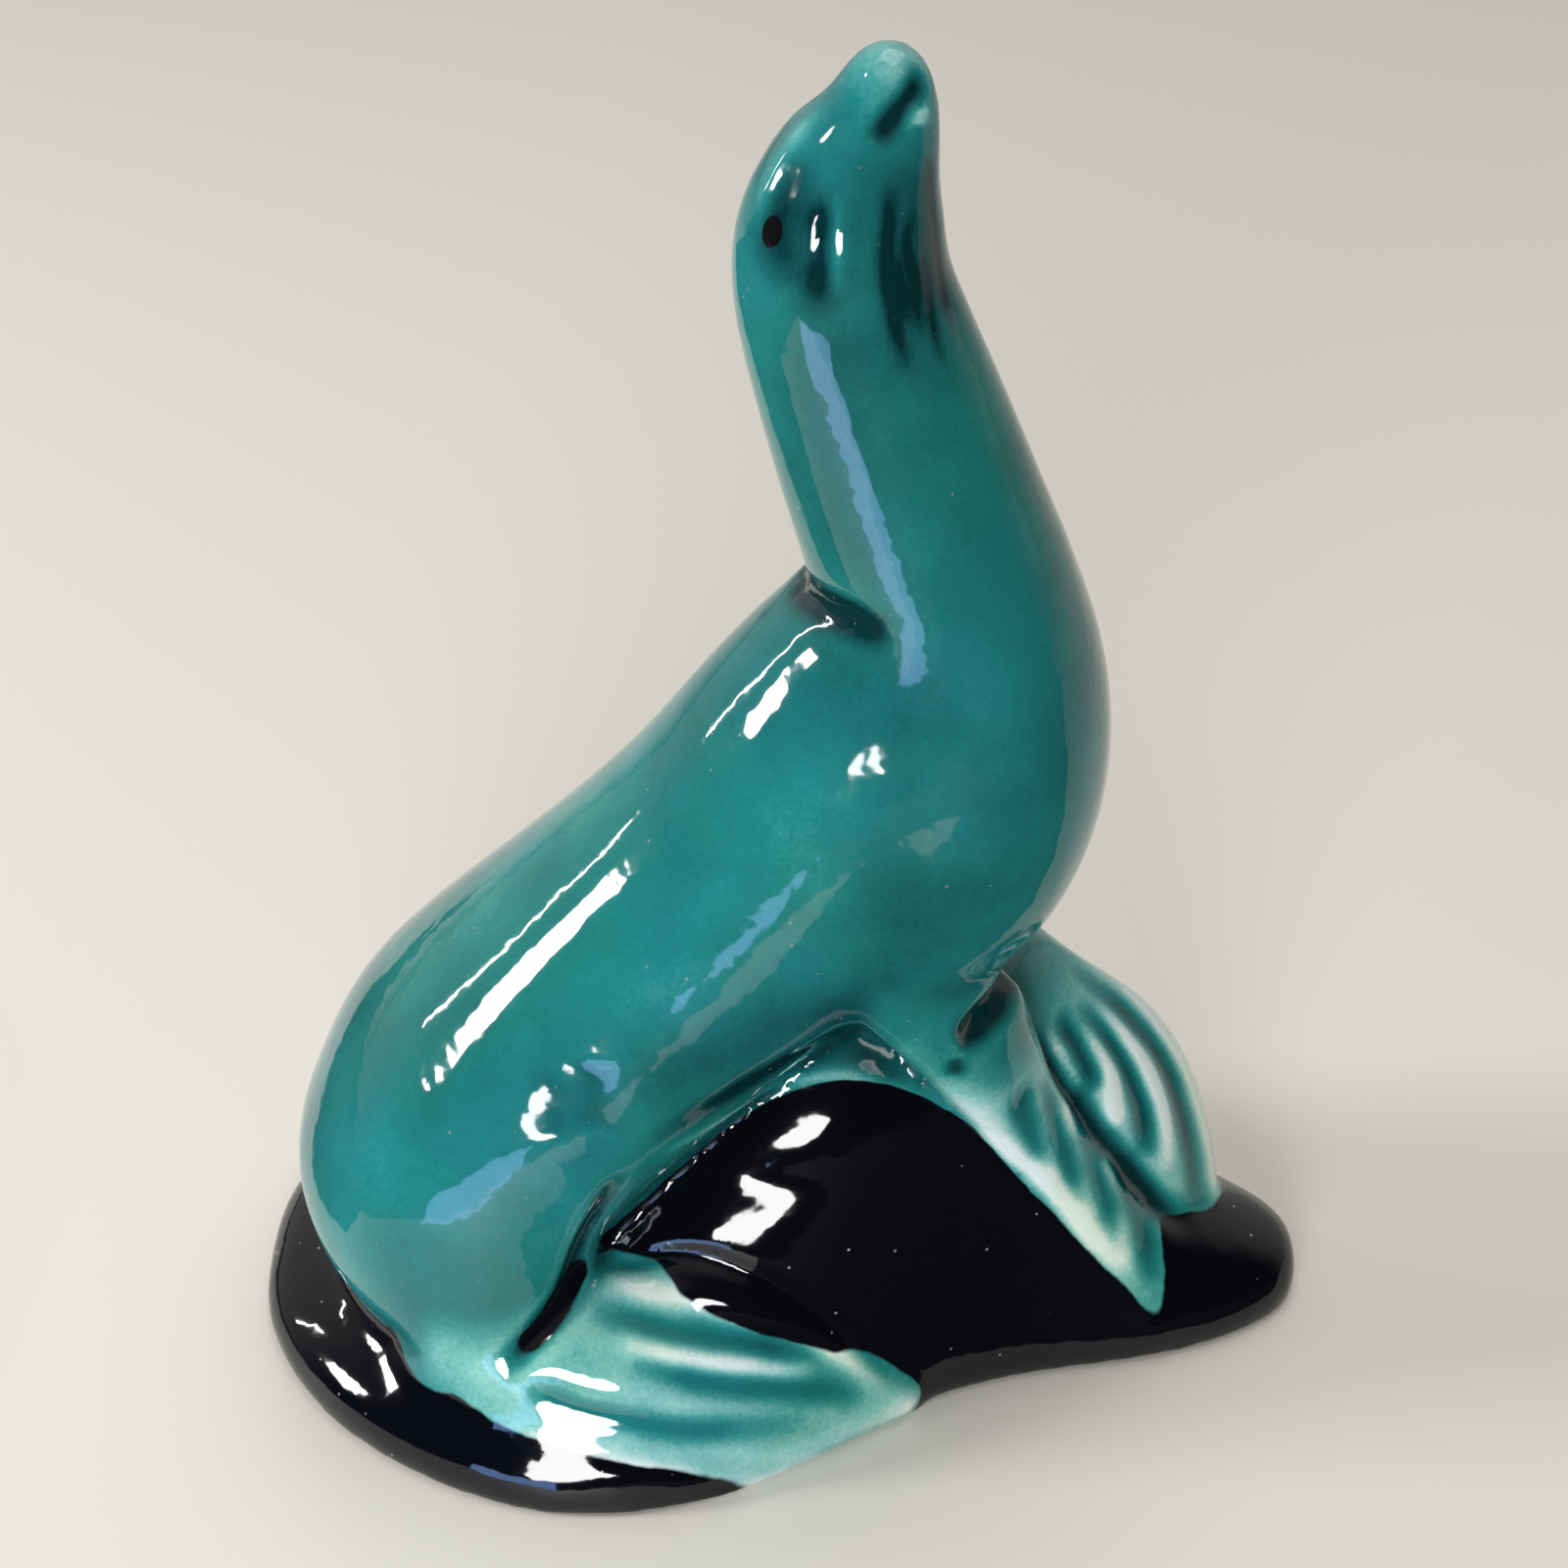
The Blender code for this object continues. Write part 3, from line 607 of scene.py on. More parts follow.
    thigh: Rows = (
        (-28.0, -12.0, 46.0, -0.3, -1.0, 0.5, 8.0, 7.0, 8.0),
        (-32.0, -18.0, 38.0, -0.2, -1.0, 0.4, 12.0, 11.0, 8.0),
        (-34.5, -22.0, 28.0, -0.1, -1.0, 0.3, 12.5, 10.0, 8.0),
        (-36.5, -24.0, 18.0, 0.0, -1.0, 0.3, 11.0, 8.0, 8.0),
        (-36.0, -27.0, 9.0, 0.0, -1.0, 0.3, 7.0, 5.0, 6.0),
    )
    eye_from: Sequence[float] = (-4.6, -9.8, 145.1)
    eye_to: Sequence[float] = (4.4, -1.6, 145.1)

    def body(self) -> list[Limb]:
        """Return the forms that have a hollow inside: torso, neck with head, and seat."""
        return [body_limb(self.torso, 90), body_limb(self.neck, 110), body_limb(self.seat, 60)]

    def flippers(self) -> list[Limb]:
        """List the front flippers with the web between them, and the hind ones.

        Returns:
            The limbs.
        """
        near = Limb(self.near_flipper)
        far = Limb(self.far_flipper)
        return [near, far, Limb(self.web), Limb(self.hind_flipper, Side.BOTH)]

    def seal(self) -> list[Limb]:
        """Return every form with the green glaze."""
        return self.body() + self.flippers() + [Limb(self.thigh, Side.BOTH)]

    def rock(self) -> Rock:
        """Return the rock."""
        return Rock(self.rock_table)

    def mesh_of(self, name: str, all_rings: Iterable[np.ndarray]) -> bpy.types.Mesh:
        """Make one mesh that holds each set of rings as a closed skin.

        Args:
            name: The mesh's name.
            all_rings: Arrays of rings, each ring a closed row of points.

        Returns:
            The mesh, in metres, with its faces looking outwards.
        """
        points: list[np.ndarray] = []
        faces: list[list[int]] = []
        start = 0
        for rings in all_rings:
            count, around = rings.shape[:2]
            place = start + np.arange(count * around).reshape(count, around)
            ahead = np.roll(place, -1, axis=1)
            quads = np.stack([place[:-1], place[1:], ahead[1:], ahead[:-1]], axis=-1)
            points.append(rings.reshape(-1, 3))
            faces.extend(quads.reshape(-1, 4).tolist())
            faces.append(place[0].tolist())
            faces.append(place[-1][::-1].tolist())
            start += count * around
        mesh = bpy.data.meshes.new(name)
        mesh.from_pydata((np.vstack(points) * self.scale).tolist(), [], faces)
        mesh.update()
        return mesh

    def put(self, name: str, mesh: bpy.types.Mesh) -> bpy.types.Object:
        """Add a mesh to the scene as an object.

        Args:
            name: The object's name.
            mesh: Its mesh.

        Returns:
            The object.
        """
        made = bpy.data.objects.new(name, mesh)
        bpy.context.scene.collection.objects.link(made)
        return made

    def settled(self, name: str, source: bpy.types.Object) -> bpy.types.Object:
        """Apply an object's modifiers into a new object and remove the old one.

        Args:
            name: The new object's name.
            source: The object with the modifiers.

        Returns:
            The new object.
        """
        graph = bpy.context.evaluated_depsgraph_get()
        mesh = bpy.data.meshes.new_from_object(source.evaluated_get(graph))
        bpy.data.objects.remove(source, do_unlink=True)
        mesh.name = name
        return self.put(name, mesh)

    def joined(
        self, name: str, all_rings: Iterable[np.ndarray], voxel: float, softening: int
    ) -> bpy.types.Object:
        """Join closed skins into one body and soften the places where they meet.

        Args:
            name: The new object's name.
            all_rings: The closed skins.
            voxel: The size of the remesh's cells in drawn millimetres.
            softening: How many times the skin is smoothed.

        Returns:
            The joined object.
        """
        source = self.put(name + "_forms", self.mesh_of(name + "_forms", all_rings))
        remesh = source.modifiers.new("join", "REMESH")
        remesh.mode = "VOXEL"
        remesh.voxel_size = voxel * self.scale
        soften = source.modifiers.new("soften", "SMOOTH")
        soften.factor = 0.5
        soften.iterations = softening
        return self.settled(name, source)

    def front_strokes(self) -> list[Stroke]:
        """List the furrows and ridges of the two front flippers and the pit at their root.

        Returns:
            The strokes. The named tuples of numbers are a kind's depth, width and pool.
        """
        furrow = (0.5, 1.9, 0.72)
        near_furrow = (0.4, 2.2, 0.58)
        ridge = (-0.25, 1.5, -0.55)
        near_ridge = (-0.2, 1.6, -0.38)
        rim = (-0.2, 1.6, -0.5)
        near_furrows = (
            ((24.0, -11.0, 42.0), (26.4, -12.1, 36.8), (31.1, -12.9, 27.5)),
            ((27.0, -8.9, 40.0), (31.0, -10.3, 32.0), (36.1, -12.1, 21.0)),
            ((32.5, -7.8, 33.0), (36.3, -8.9, 25.4), (40.9, -11.4, 14.4)),
            ((39.0, -6.6, 24.5), (42.0, -8.1, 17.3), (44.6, -11.5, 8.8)),
        )
        far_furrows = (
            ((32.5, -0.5, 42.0), (35.5, -1.5, 37.0), (36.5, -3.5, 32.0)),
            ((35.5, 2.5, 41.5), (40.5, 1.0, 34.0), (43.0, -1.5, 27.5), (43.5, -4.0, 22.0)),
            ((34.5, 6.5, 43.5), (41.0, 6.5, 37.5), (46.0, 5.0, 30.0), (49.0, 2.0, 22.5), (50.5, -3.0, 9.0)),
        )
        near_ridges = (
            ((26.6, -9.7, 39.6), (29.0, -10.6, 34.4), (31.8, -12.7, 26.9)),
            ((31.1, -7.9, 35.1), (34.1, -9.1, 28.4), (36.3, -12.3, 20.3)),
            ((37.0, -7.5, 26.2), (39.4, -9.2, 19.9), (40.9, -12.2, 13.0)),
        )
        far_ridges = (
            ((31.0, -3.0, 41.0), (33.5, -4.0, 36.0), (35.0, -5.0, 32.5)),
            ((34.5, 0.5, 41.5), (38.5, -0.5, 35.5), (39.5, -3.0, 30.0), (38.5, -4.5, 27.5)),
            ((37.5, 4.0, 40.0), (42.5, 3.0, 34.0), (46.0, 0.5, 26.0), (46.0, -3.0, 19.0)),
        )
        far_rim = (
            (41.0, 9.5, 39.0), (47.5, 9.0, 32.0), (51.5, 6.5, 23.0), (52.5, 2.0, 12.0),
            (52.0, -1.0, 6.0),
        )
        near_rim = (
            (21.9, -15.6, 38.6), (28.4, -13.7, 30.9), (32.6, -13.0, 25.3), (36.7, -12.8, 18.9),
            (43.8, -13.3, 7.0),
        )
        valley = (
            (27.0, -6.5, 44.0), (29.8, -6.0, 39.7), (34.5, -5.5, 32.3), (41.6, -5.5, 21.8),
            (45.7, -5.5, 16.7), (49.3, -5.0, 10.1),
        )
        root = ((19.4, -19.6, 50.5), (19.6, -19.4, 47.5))
        pit = ((20.0, -20.0, 52.5), (23.5, -16.1, 54.0), (25.5, -11.5, 55.5), (27.5, -5.0, 56.5))
        return [
            *(Stroke(line, *near_furrow) for line in near_furrows),
            *(Stroke(line, *furrow) for line in far_furrows),
            *(Stroke(line, *near_ridge) for line in near_ridges),
            *(Stroke(line, *ridge) for line in far_ridges),
            Stroke(far_rim, *rim),
            Stroke(near_rim, *rim),
            Stroke(valley, 1.0, 1.7, 0.75),
            Stroke(root, 0.3, 1.2, 0.6),
            Stroke(pit, 2.6, 2.3, 1.4),
        ]

    def hind_strokes(self) -> list[Stroke]:
        """List the furrows and ridges of the hind flippers, and the lines round the haunch.

        Returns:
            The strokes.
        """
        both = Side.BOTH
        furrows = (
            (
                (-23.0, -28.5, 20.5), (-17.0, -29.5, 19.0), (-9.0, -29.5, 16.5), (-1.0, -28.5, 14.5),
                (5.0, -27.0, 12.5),
            ),
            (
                (-18.0, -33.0, 17.0), (-11.5, -33.0, 13.5), (-4.5, -32.0, 11.5), (3.5, -30.5, 9.5),
                (10.0, -28.5, 6.0),
            ),
            (
                (-31.0, -35.0, 14.0), (-26.0, -36.0, 13.0), (-19.0, -37.0, 11.0), (-11.5, -36.5, 8.5),
                (2.5, -32.0, 6.0),
            ),
        )
        upper_rim = (
            (-21.0, -26.5, 22.0), (-14.0, -26.5, 22.0), (-6.0, -27.0, 20.0), (1.0, -26.5, 16.5),
            (7.0, -26.0, 11.0), (12.5, -26.5, 5.0),
        )
        middle = ((-20.0, -31.0, 18.5), (-12.0, -31.5, 15.5), (-4.0, -30.5, 13.5), (4.0, -28.5, 10.0))
        lower_rim = ((-33.0, -37.5, 9.5), (-26.0, -39.5, 8.0), (-18.0, -40.5, 6.0), (-9.0, -40.0, 3.5))
        haunch_front = (
            (-20.5, -23.0, 40.0), (-22.0, -25.0, 32.5), (-25.0, -26.0, 24.0), (-28.5, -29.0, 18.5),
            (-32.5, -33.0, 14.0),
        )
        above = (
            (-23.0, -24.5, 23.0), (-17.0, -23.5, 24.5), (-9.0, -23.5, 25.0), (-1.0, -24.5, 22.5),
            (6.0, -24.0, 14.5), (12.0, -25.0, 6.0),
        )
        front_wrinkle = ((-20.5, -24.0, 54.0), (-21.0, -25.0, 50.0), (-22.0, -26.0, 45.5))
        rear_wrinkle = ((-25.5, -24.0, 52.5), (-26.0, -25.5, 48.0), (-26.5, -27.0, 44.5))
        return [
            *(Stroke(line, 0.5, 1.9, 0.42, both) for line in furrows),
            Stroke(upper_rim, -0.3, 1.6, -0.6, both),
            Stroke(middle, -0.3, 1.4, -0.4, both),
            Stroke(lower_rim, -0.2, 1.8, -0.5, both),
            Stroke(haunch_front, 1.1, 1.5, 0.6, both),
            Stroke(above, 0.7, 1.2, 0.0, both),
            Stroke(front_wrinkle, 0.3, 2.6, 0.12, both),
            Stroke(rear_wrinkle, 0.2, 2.4, 0.08, both),
        ]

    def belly_strokes(self) -> list[Stroke]:
        """List the groove under the belly, the rock's pale crest, painted sheen along the back and
        painted shade under the belly.

        Returns:
            The strokes.
        """
        groove = (
            (-15.4, -25.8, 43.0), (-6.6, -22.5, 47.5), (2.2, -19.5, 51.5), (5.5, -18.5, 53.0),
            (8.3, -15.5, 49.5), (14.7, -15.5, 43.5),
        )
        crest = (
            (-15.0, -24.2, 40.5), (-6.7, -19.5, 43.0), (0.0, -15.5, 43.8), (5.6, -15.2, 45.5),
            (11.3, -15.5, 44.0), (18.2, -15.5, 39.0),
        )
        # painted sheen: a paler band along the top of the back, where the pale room reflects
        painted_back_sheen = ((-52.0, 0.0, 43.0), (-40.0, 0.0, 56.0), (-27.0, 0.0, 68.0), (-10.0, 0.0, 88.0))
        # painted shade: a darker band on the underside of the belly, over the rock
        painted_belly_shade = ((-17.0, -26.0, 48.0), (-6.0, -24.0, 54.0), (4.0, -22.0, 60.0), (14.0, -20.0, 53.0))
        return [
            Stroke(groove, 0.35, 1.9, 0.8, Side.BOTH),
            Stroke(crest, -0.15, 1.0, -0.55, Side.BOTH),
            Stroke(painted_back_sheen, 0.0, 8.0, -0.24),
            Stroke(painted_belly_shade, 0.0, 5.5, 0.42, Side.BOTH),
        ]

    def throat_strokes(self) -> list[Stroke]:
        """List the runs of glaze down the throat, each with its own width and pool.

        Returns:
            The strokes.
        """
        depth = 0.12
        runs = (
            (
                0.75, 0.75,
                ((10.6, -7.4, 150.6), (10.2, -9.0, 146.7), (9.7, -9.9, 141.4), (11.3, -9.9, 136.8),
                 (12.6, -10.8, 131.5)),
            ),
            (0.55, 0.5, ((12.5, -6.6, 147.2), (12.0, -8.1, 144.2), (12.9, -8.3, 139.2), (13.6, -8.9, 134.5))),
            (0.7, 0.6, ((14.3, -4.0, 152.7), (14.8, -4.6, 146.9), (15.0, -5.2, 140.9), (16.6, -5.5, 133.7))),
            (0.45, 0.6, ((11.2, -8.6, 143.6), (11.7, -9.0, 140.4), (12.4, -9.4, 135.8))),
            (0.5, 0.5, ((13.6, -6.4, 143.0), (14.2, -7.0, 138.4), (15.6, -7.8, 131.0))),
        )
        return [Stroke(line, depth, width, pool, Side.BOTH) for width, pool, line in runs]

    def rock_lines(self) -> list[Stroke]:
        """List the lines where the black glaze runs in between the green parts."""
        wedge = ((-22.5, -24.5, 27.0), (-25.5, -25.5, 22.0), (-28.5, -29.0, 17.5), (-31.5, -32.0, 14.5))
        return [Stroke(wedge, 0.0, 1.3, 0.0, Side.BOTH)]

    def head_strokes(self) -> list[Stroke]:
        """List the creases and ridges of the head and the nape.

        Returns:
            The strokes.
        """
        both = Side.BOTH
        nape = ((1.0, 2.0, 101.0), (3.5, -5.0, 102.5), (7.0, -10.5, 103.5), (11.5, -14.5, 104.0))
        mouth = ((13.5, -1.5, 159.8), (12.0, -3.5, 158.0), (10.5, -4.8, 156.3), (8.5, -6.3, 154.2))
        brow = ((4.5, -1.5, 157.0), (0.5, -2.8, 152.5), (-1.5, -4.5, 149.0), (-3.4, -5.0, 144.5))
        socket = ((2.0, -5.0, 153.0), (0.2, -5.5, 148.5), (0.0, -7.0, 144.0), (1.8, -9.0, 140.0))
        jaw = ((14.0, -4.0, 157.5), (13.0, -5.5, 155.5))
        cheek_hollow = ((3.6, -7.9, 149.5), (3.6, -9.2, 144.5), (3.4, -10.2, 139.5))
        cheek_ridge = ((5.2, -8.2, 149.5), (5.4, -9.8, 144.5), (5.2, -10.8, 139.5))
        return [
            Stroke(nape, 1.1, 2.0, 0.8, both),
            Stroke(mouth, 0.75, 1.2, 0.75, both),
            Stroke(brow, -0.3, 1.7, -0.28, both),
            Stroke(socket, 0.25, 2.4, 0.35, both),
            Stroke(jaw, -0.3, 1.6, -0.3, both),
            Stroke(cheek_hollow, 0.25, 0.9, 0.2, both),
            Stroke(cheek_ridge, -0.25, 0.8, -0.15, both),
        ]

    def spots(self) -> list[Spot]:
        """List the round hollows and swellings, and the washes, which have no depth.

        In order: eye socket, two cheek pools, cheek, dimple in the rock, washes on the neck, head and
        throat, painted shade on the lower chest and a patch of painted light on the shoulder.

        Returns:
            The spots.
        """
        both = Side.BOTH
        return [
            Spot((-0.7, -5.0, 144.5), (3.2, 3.2, 4.2), 0.35, 0.35, both),
            Spot((3.2, -8.0, 147.0), (2.0, 2.5, 2.0), 0.1, 0.5, both),
            Spot((3.4, -10.0, 141.0), (2.0, 2.5, 2.5), 0.1, 0.5, both),
            Spot((7.5, -9.5, 143.0), (3.0, 3.5, 5.0), -0.25, 0.0, both),
            Spot((-1.7, -22.0, 33.2), (6.0, 6.0, 3.2), 0.5, 0.0, both),
            Spot((5.0, -12.0, 125.0), (7.0, 8.0, 15.0), 0.0, 0.28, both),
            Spot((5.0, -8.0, 146.0), (7.0, 7.0, 9.0), 0.0, 0.25, both),
            Spot((14.0, -6.0, 142.0), (5.0, 6.0, 10.0), 0.0, 0.5, both),
            # painted shade: the lower chest over the flippers is darker
            Spot((21.0, -19.0, 74.0), (8.0, 10.0, 14.0), 0.0, 0.2, both),
            # painted light: a paler patch on the shoulder
            Spot((-1.0, -20.0, 81.0), (10.0, 9.0, 9.0), 0.0, -0.15, both),
        ]

    def laid_on(self, skin: Skin, stroke: Stroke) -> Stroke:
        """Lay a stroke on the skin: nine places along it go to the skin's nearest points.

        Args:
            skin: The skin.
            stroke: The stroke, near the skin.

        Returns:
            The stroke with those places.
        """
        path = spline(stroke.points, 9)
        near = [np.linalg.norm(skin.points - point, axis=1).argmin() for point in path]
        return replace(stroke, points=skin.points[near])

    def soften_folds(self, skin: Skin) -> None:
        """Melt the folds where the body's forms meet.

        The share of smoothing is a bell of the distance to the second nearest form, times a
        narrow bell of the distance to the nearest. Then the rock is smoothed, and so is the fold
        between it and the haunches.

        Args:
            skin: The joined skin.
        """
        limbs = self.body() + [Limb(self.thigh, Side.BOTH)]
        away = np.sort([limb.reach(skin.points) for limb in limbs], axis=0)
        share = np.exp(-((away[1] / self.fold_reach) ** 2)) * np.exp(-((away[0] / self.voxel) ** 2))
        skin.ease_shape(share, self.fold_turns)
        x, z = skin.points[:, 0], skin.points[:, 2]
        seal = np.minimum.reduce([limb.reach(skin.points) for limb in self.seal()])
        share = smoothstep(1.0, 3.5, seal)
        rear = smoothstep(-18.0, -30.0, x)
        rear = rear * np.exp(-(((z - self.rear_fold_z) / self.rear_fold_width) ** 2))
        skin.ease_shape(share, self.rock_turns)
        skin.ease_shape(rear, self.rear_fold_turns)

    def worked(self, skin: Skin) -> np.ndarray:
        """Work the strokes and spots into the skin, all measured on the untouched skin.

        Args:
            skin: The softened skin.

        Returns:
            How much thicker the glaze lies at each point, as the strokes and spots say, with the painted
            shade and painted sheen that some of them lay on.
        """
        total = np.zeros(len(skin.points))
        pool = np.zeros(len(skin.points))
        strokes = self.front_strokes() + self.hind_strokes() + self.head_strokes()
        for stroke in strokes + self.belly_strokes() + self.throat_strokes():
            laid = self.laid_on(skin, stroke)
            total -= stroke.depth * laid.bell(skin.points)
            pool += stroke.pool * laid.bell(skin.points, spread=1.1)
        for spot in self.spots():
            total -= spot.depth * spot.bell(skin.points)
            pool += spot.pool * spot.bell(skin.points)
        skin.move(total)
        return pool

    def mark_glaze(self, skin: Skin, pool: np.ndarray) -> None:
        """Work out where each glaze lies and how thick it is, as attributes of the skin.

        The green glaze lies on the seal's own forms and on the top of the rock behind its
        crest. Its attribute is how far a point is inside the border, so it falls through 0
        there. At the rear the border is level. The hollowness of the skin at two scales is
        kept as pool_fine and pool_wide, and thin is how near a point is to a flipper.

        Args:
            skin: The finished outer skin.
            pool: How much thicker the glaze lies along the strokes, with the painted
                shade and sheen of a few.
        """
        points = skin.points
        body = self.body() + [Limb(self.thigh, Side.BOTH)]
        away = np.minimum.reduce([limb.reach(points) for limb in body])
        rear = np.clip((self.rear_border_x - points[:, 0]) / 6.0, 0.0, 1.0)
        level = 4.0 + rear * (points[:, 2] - self.rear_border_z)
        green = np.minimum(self.green_over_body - away, level)
        fins = np.minimum.reduce([limb.reach(points, 0.6) for limb in self.flippers()])
        green = np.maximum(green, self.green_over_flippers - fins)
        top = points[:, 2] - self.rock().crest_at(points[:, 0]) + 1.0
        top = np.minimum(top, 2.0 * np.minimum(points[:, 0] + 20.0, 22.0 - points[:, 0]))
        green = np.maximum(green, np.clip(top, -3.0, 3.0))
        for line in self.rock_lines():
            green = np.minimum(green, 2.0 - 4.0 * self.laid_on(skin, line).bell(points))
        flipper = np.minimum.reduce([limb.reach(points) for limb in self.flippers()])
        skin.keep("green", skin.eased(np.clip(green, -4.0, 4.0), 8))
        skin.keep("pool_fine", skin.eased(skin.hollowness(10), 1))
        skin.keep("pool_wide", skin.eased(skin.hollowness(70), 4))
        low = 1.0 - smoothstep(self.thin_below, self.thin_below + 10.0, points[:, 2])
        thin = (1.0 - smoothstep(0.0, 4.0, flipper)) * low
        skin.keep("thin", skin.eased(thin, 4))
        # glaze thickness along the strokes and spots, with their painted shade and painted sheen
        skin.keep("pool", pool)
        skin.keep("glazed", np.ones(len(points)))

    def tube(self, ends: Rows, face: Sequence[float], across: float, thick: float) -> Limb:
        """Make a straight oval tube.

        Args:
            ends: The places of its two ends.
            face: The way that its thickness is measured.
            across: Its half width.
            thick: Its half thickness.

        Returns:
            The tube as a limb.
        """
        rows = [(*end, *face, across, thick, thick) for end in ends]
        return Limb(rows, count=2, around=32)

    def slab(self, reach: float, depth: float) -> bpy.types.Mesh:
        """Make the slab below the floor that cuts the foot flat.

        Args:
            reach: Half the length of its sides.
            depth: How far down it goes.

        Returns:
            The slab's mesh.
        """
        square = np.array([(-1.0, -1.0, 0.0), (1.0, -1.0, 0.0), (1.0, 1.0, 0.0), (-1.0, 1.0, 0.0)])
        ring = reach * square
        rings = np.stack([ring - np.array([0.0, 0.0, depth]), ring])
        return self.mesh_of("foot_cutter", [rings[:, ::-1]])

    def cut(self, target: bpy.types.Object, mesh: bpy.types.Mesh) -> bpy.types.Object:
        """Cut a mesh out of an object with an exact Boolean.

        Args:
            target: The object that is cut. It is removed.
            mesh: The closed skin of what is cut out.

        Returns:
            The cut object.
        """
        tool = self.put("cutter", mesh)
        step = target.modifiers.new("cut", "BOOLEAN")
        step.operation = "DIFFERENCE"
        step.solver = "EXACT"
        step.object = tool
        made = self.settled(target.name, target)
        bpy.data.objects.remove(tool, do_unlink=True)
        return made

    def hollowed(self, outer: bpy.types.Object) -> bpy.types.Object:
        """Cut out the hollow, the flat foot, the pour hole and the two eye holes.

        The hollow is the body's forms and the rock, each drawn in by the wall.

        Args:
            outer: The finished outer skin. It is removed.

        Returns:
            The hollow casting.
        """
        inner = [ring for limb in self.body() for ring in limb.rings(self.wall)]
        inner += self.rock().rings(self.wall, self.foot_wall)
        hollow = self.joined("hollow", inner, self.hollow_voxel, self.hollow_softening)
        outer = self.cut(outer, hollow.data)
        bpy.data.objects.remove(hollow, do_unlink=True)
        outer = self.cut(outer, self.slab(DRAWN_HEIGHT, 0.1 * DRAWN_HEIGHT))
        ends = [(self.pour_hole_x, 0.0, height) for height in (-4.0, self.foot_wall + 3.0)]
        pour = self.tube(ends, (1.0, 0.0, 0.0), self.pour_hole_radius, self.pour_hole_radius)
        outer = self.cut(outer, self.mesh_of("pour_cutter", pour.rings()))
        tall = self.eye_hole_radius * self.eye_hole_stretch
        eye = self.tube((self.eye_from, self.eye_to), (0.0, 0.0, 1.0), self.eye_hole_radius, tall)
        for rings in replace(eye, side=Side.BOTH).rings():
            outer = self.cut(outer, self.mesh_of("eye_cutter", [rings]))
        return outer

    def build(self) -> bpy.types.Object:
        """Build the whole piece.

        Returns:
            The piece's object.
        """
        forms = [ring for limb in self.seal() for ring in limb.rings()]
        forms += self.rock().rings(floor=-self.under_floor)
        outer = self.joined("skin", forms, self.voxel, self.softening)
        skin = Skin(outer.data, self.scale)
        self.soften_folds(skin)
        self.mark_glaze(skin, self.worked(skin))
        made = self.hollowed(outer)
        made.name = PIECE
        made.data.name = PIECE
        made.data.shade_smooth()
        made.data.set_sharp_from_angle(angle=math.radians(self.sharp_over))
        return made


class Value:
    """A socket of a material, on which sums are written as plain Python."""

    def __init__(self, graph: "Graph", socket: bpy.types.NodeSocket) -> None:
        """Wrap an output socket."""
        self.graph = graph
        self.socket = socket

    def __add__(self, other: "Value | float") -> "Value":
        """Add."""
        return self.graph.maths("ADD", self, other)

    def __radd__(self, other: float) -> "Value":
        """Add to a number."""
        return self.graph.maths("ADD", other, self)

    def __sub__(self, other: "Value | float") -> "Value":
        """Take away."""
        return self.graph.maths("SUBTRACT", self, other)

    def __rsub__(self, other: float) -> "Value":
        """Take away from a number."""
        return self.graph.maths("SUBTRACT", other, self)

    def __mul__(self, other: "Value | float") -> "Value":
        """Multiply."""
        return self.graph.maths("MULTIPLY", self, other)

    def __rmul__(self, other: float) -> "Value":
        """Multiply a number."""
        return self.graph.maths("MULTIPLY", other, self)

    def ramp(self, low: float, high: float) -> "Value":
        """Go smoothly from 0 at low to 1 at high.

        Args:
            low: The value that gives 0.
            high: The value that gives 1.

        Returns:
            The ramped value.
        """
        node = self.graph.node(
            "ShaderNodeMapRange",
            {"interpolation_type": "SMOOTHSTEP", "clamp": True},
            {"Value": self, "From Min": low, "From Max": high},
        )
        return Value(self.graph, node.outputs["Result"])

    def most(self, other: "Value | float") -> "Value":
        """Return the larger of the two."""
        return self.graph.maths("MAXIMUM", self, other)


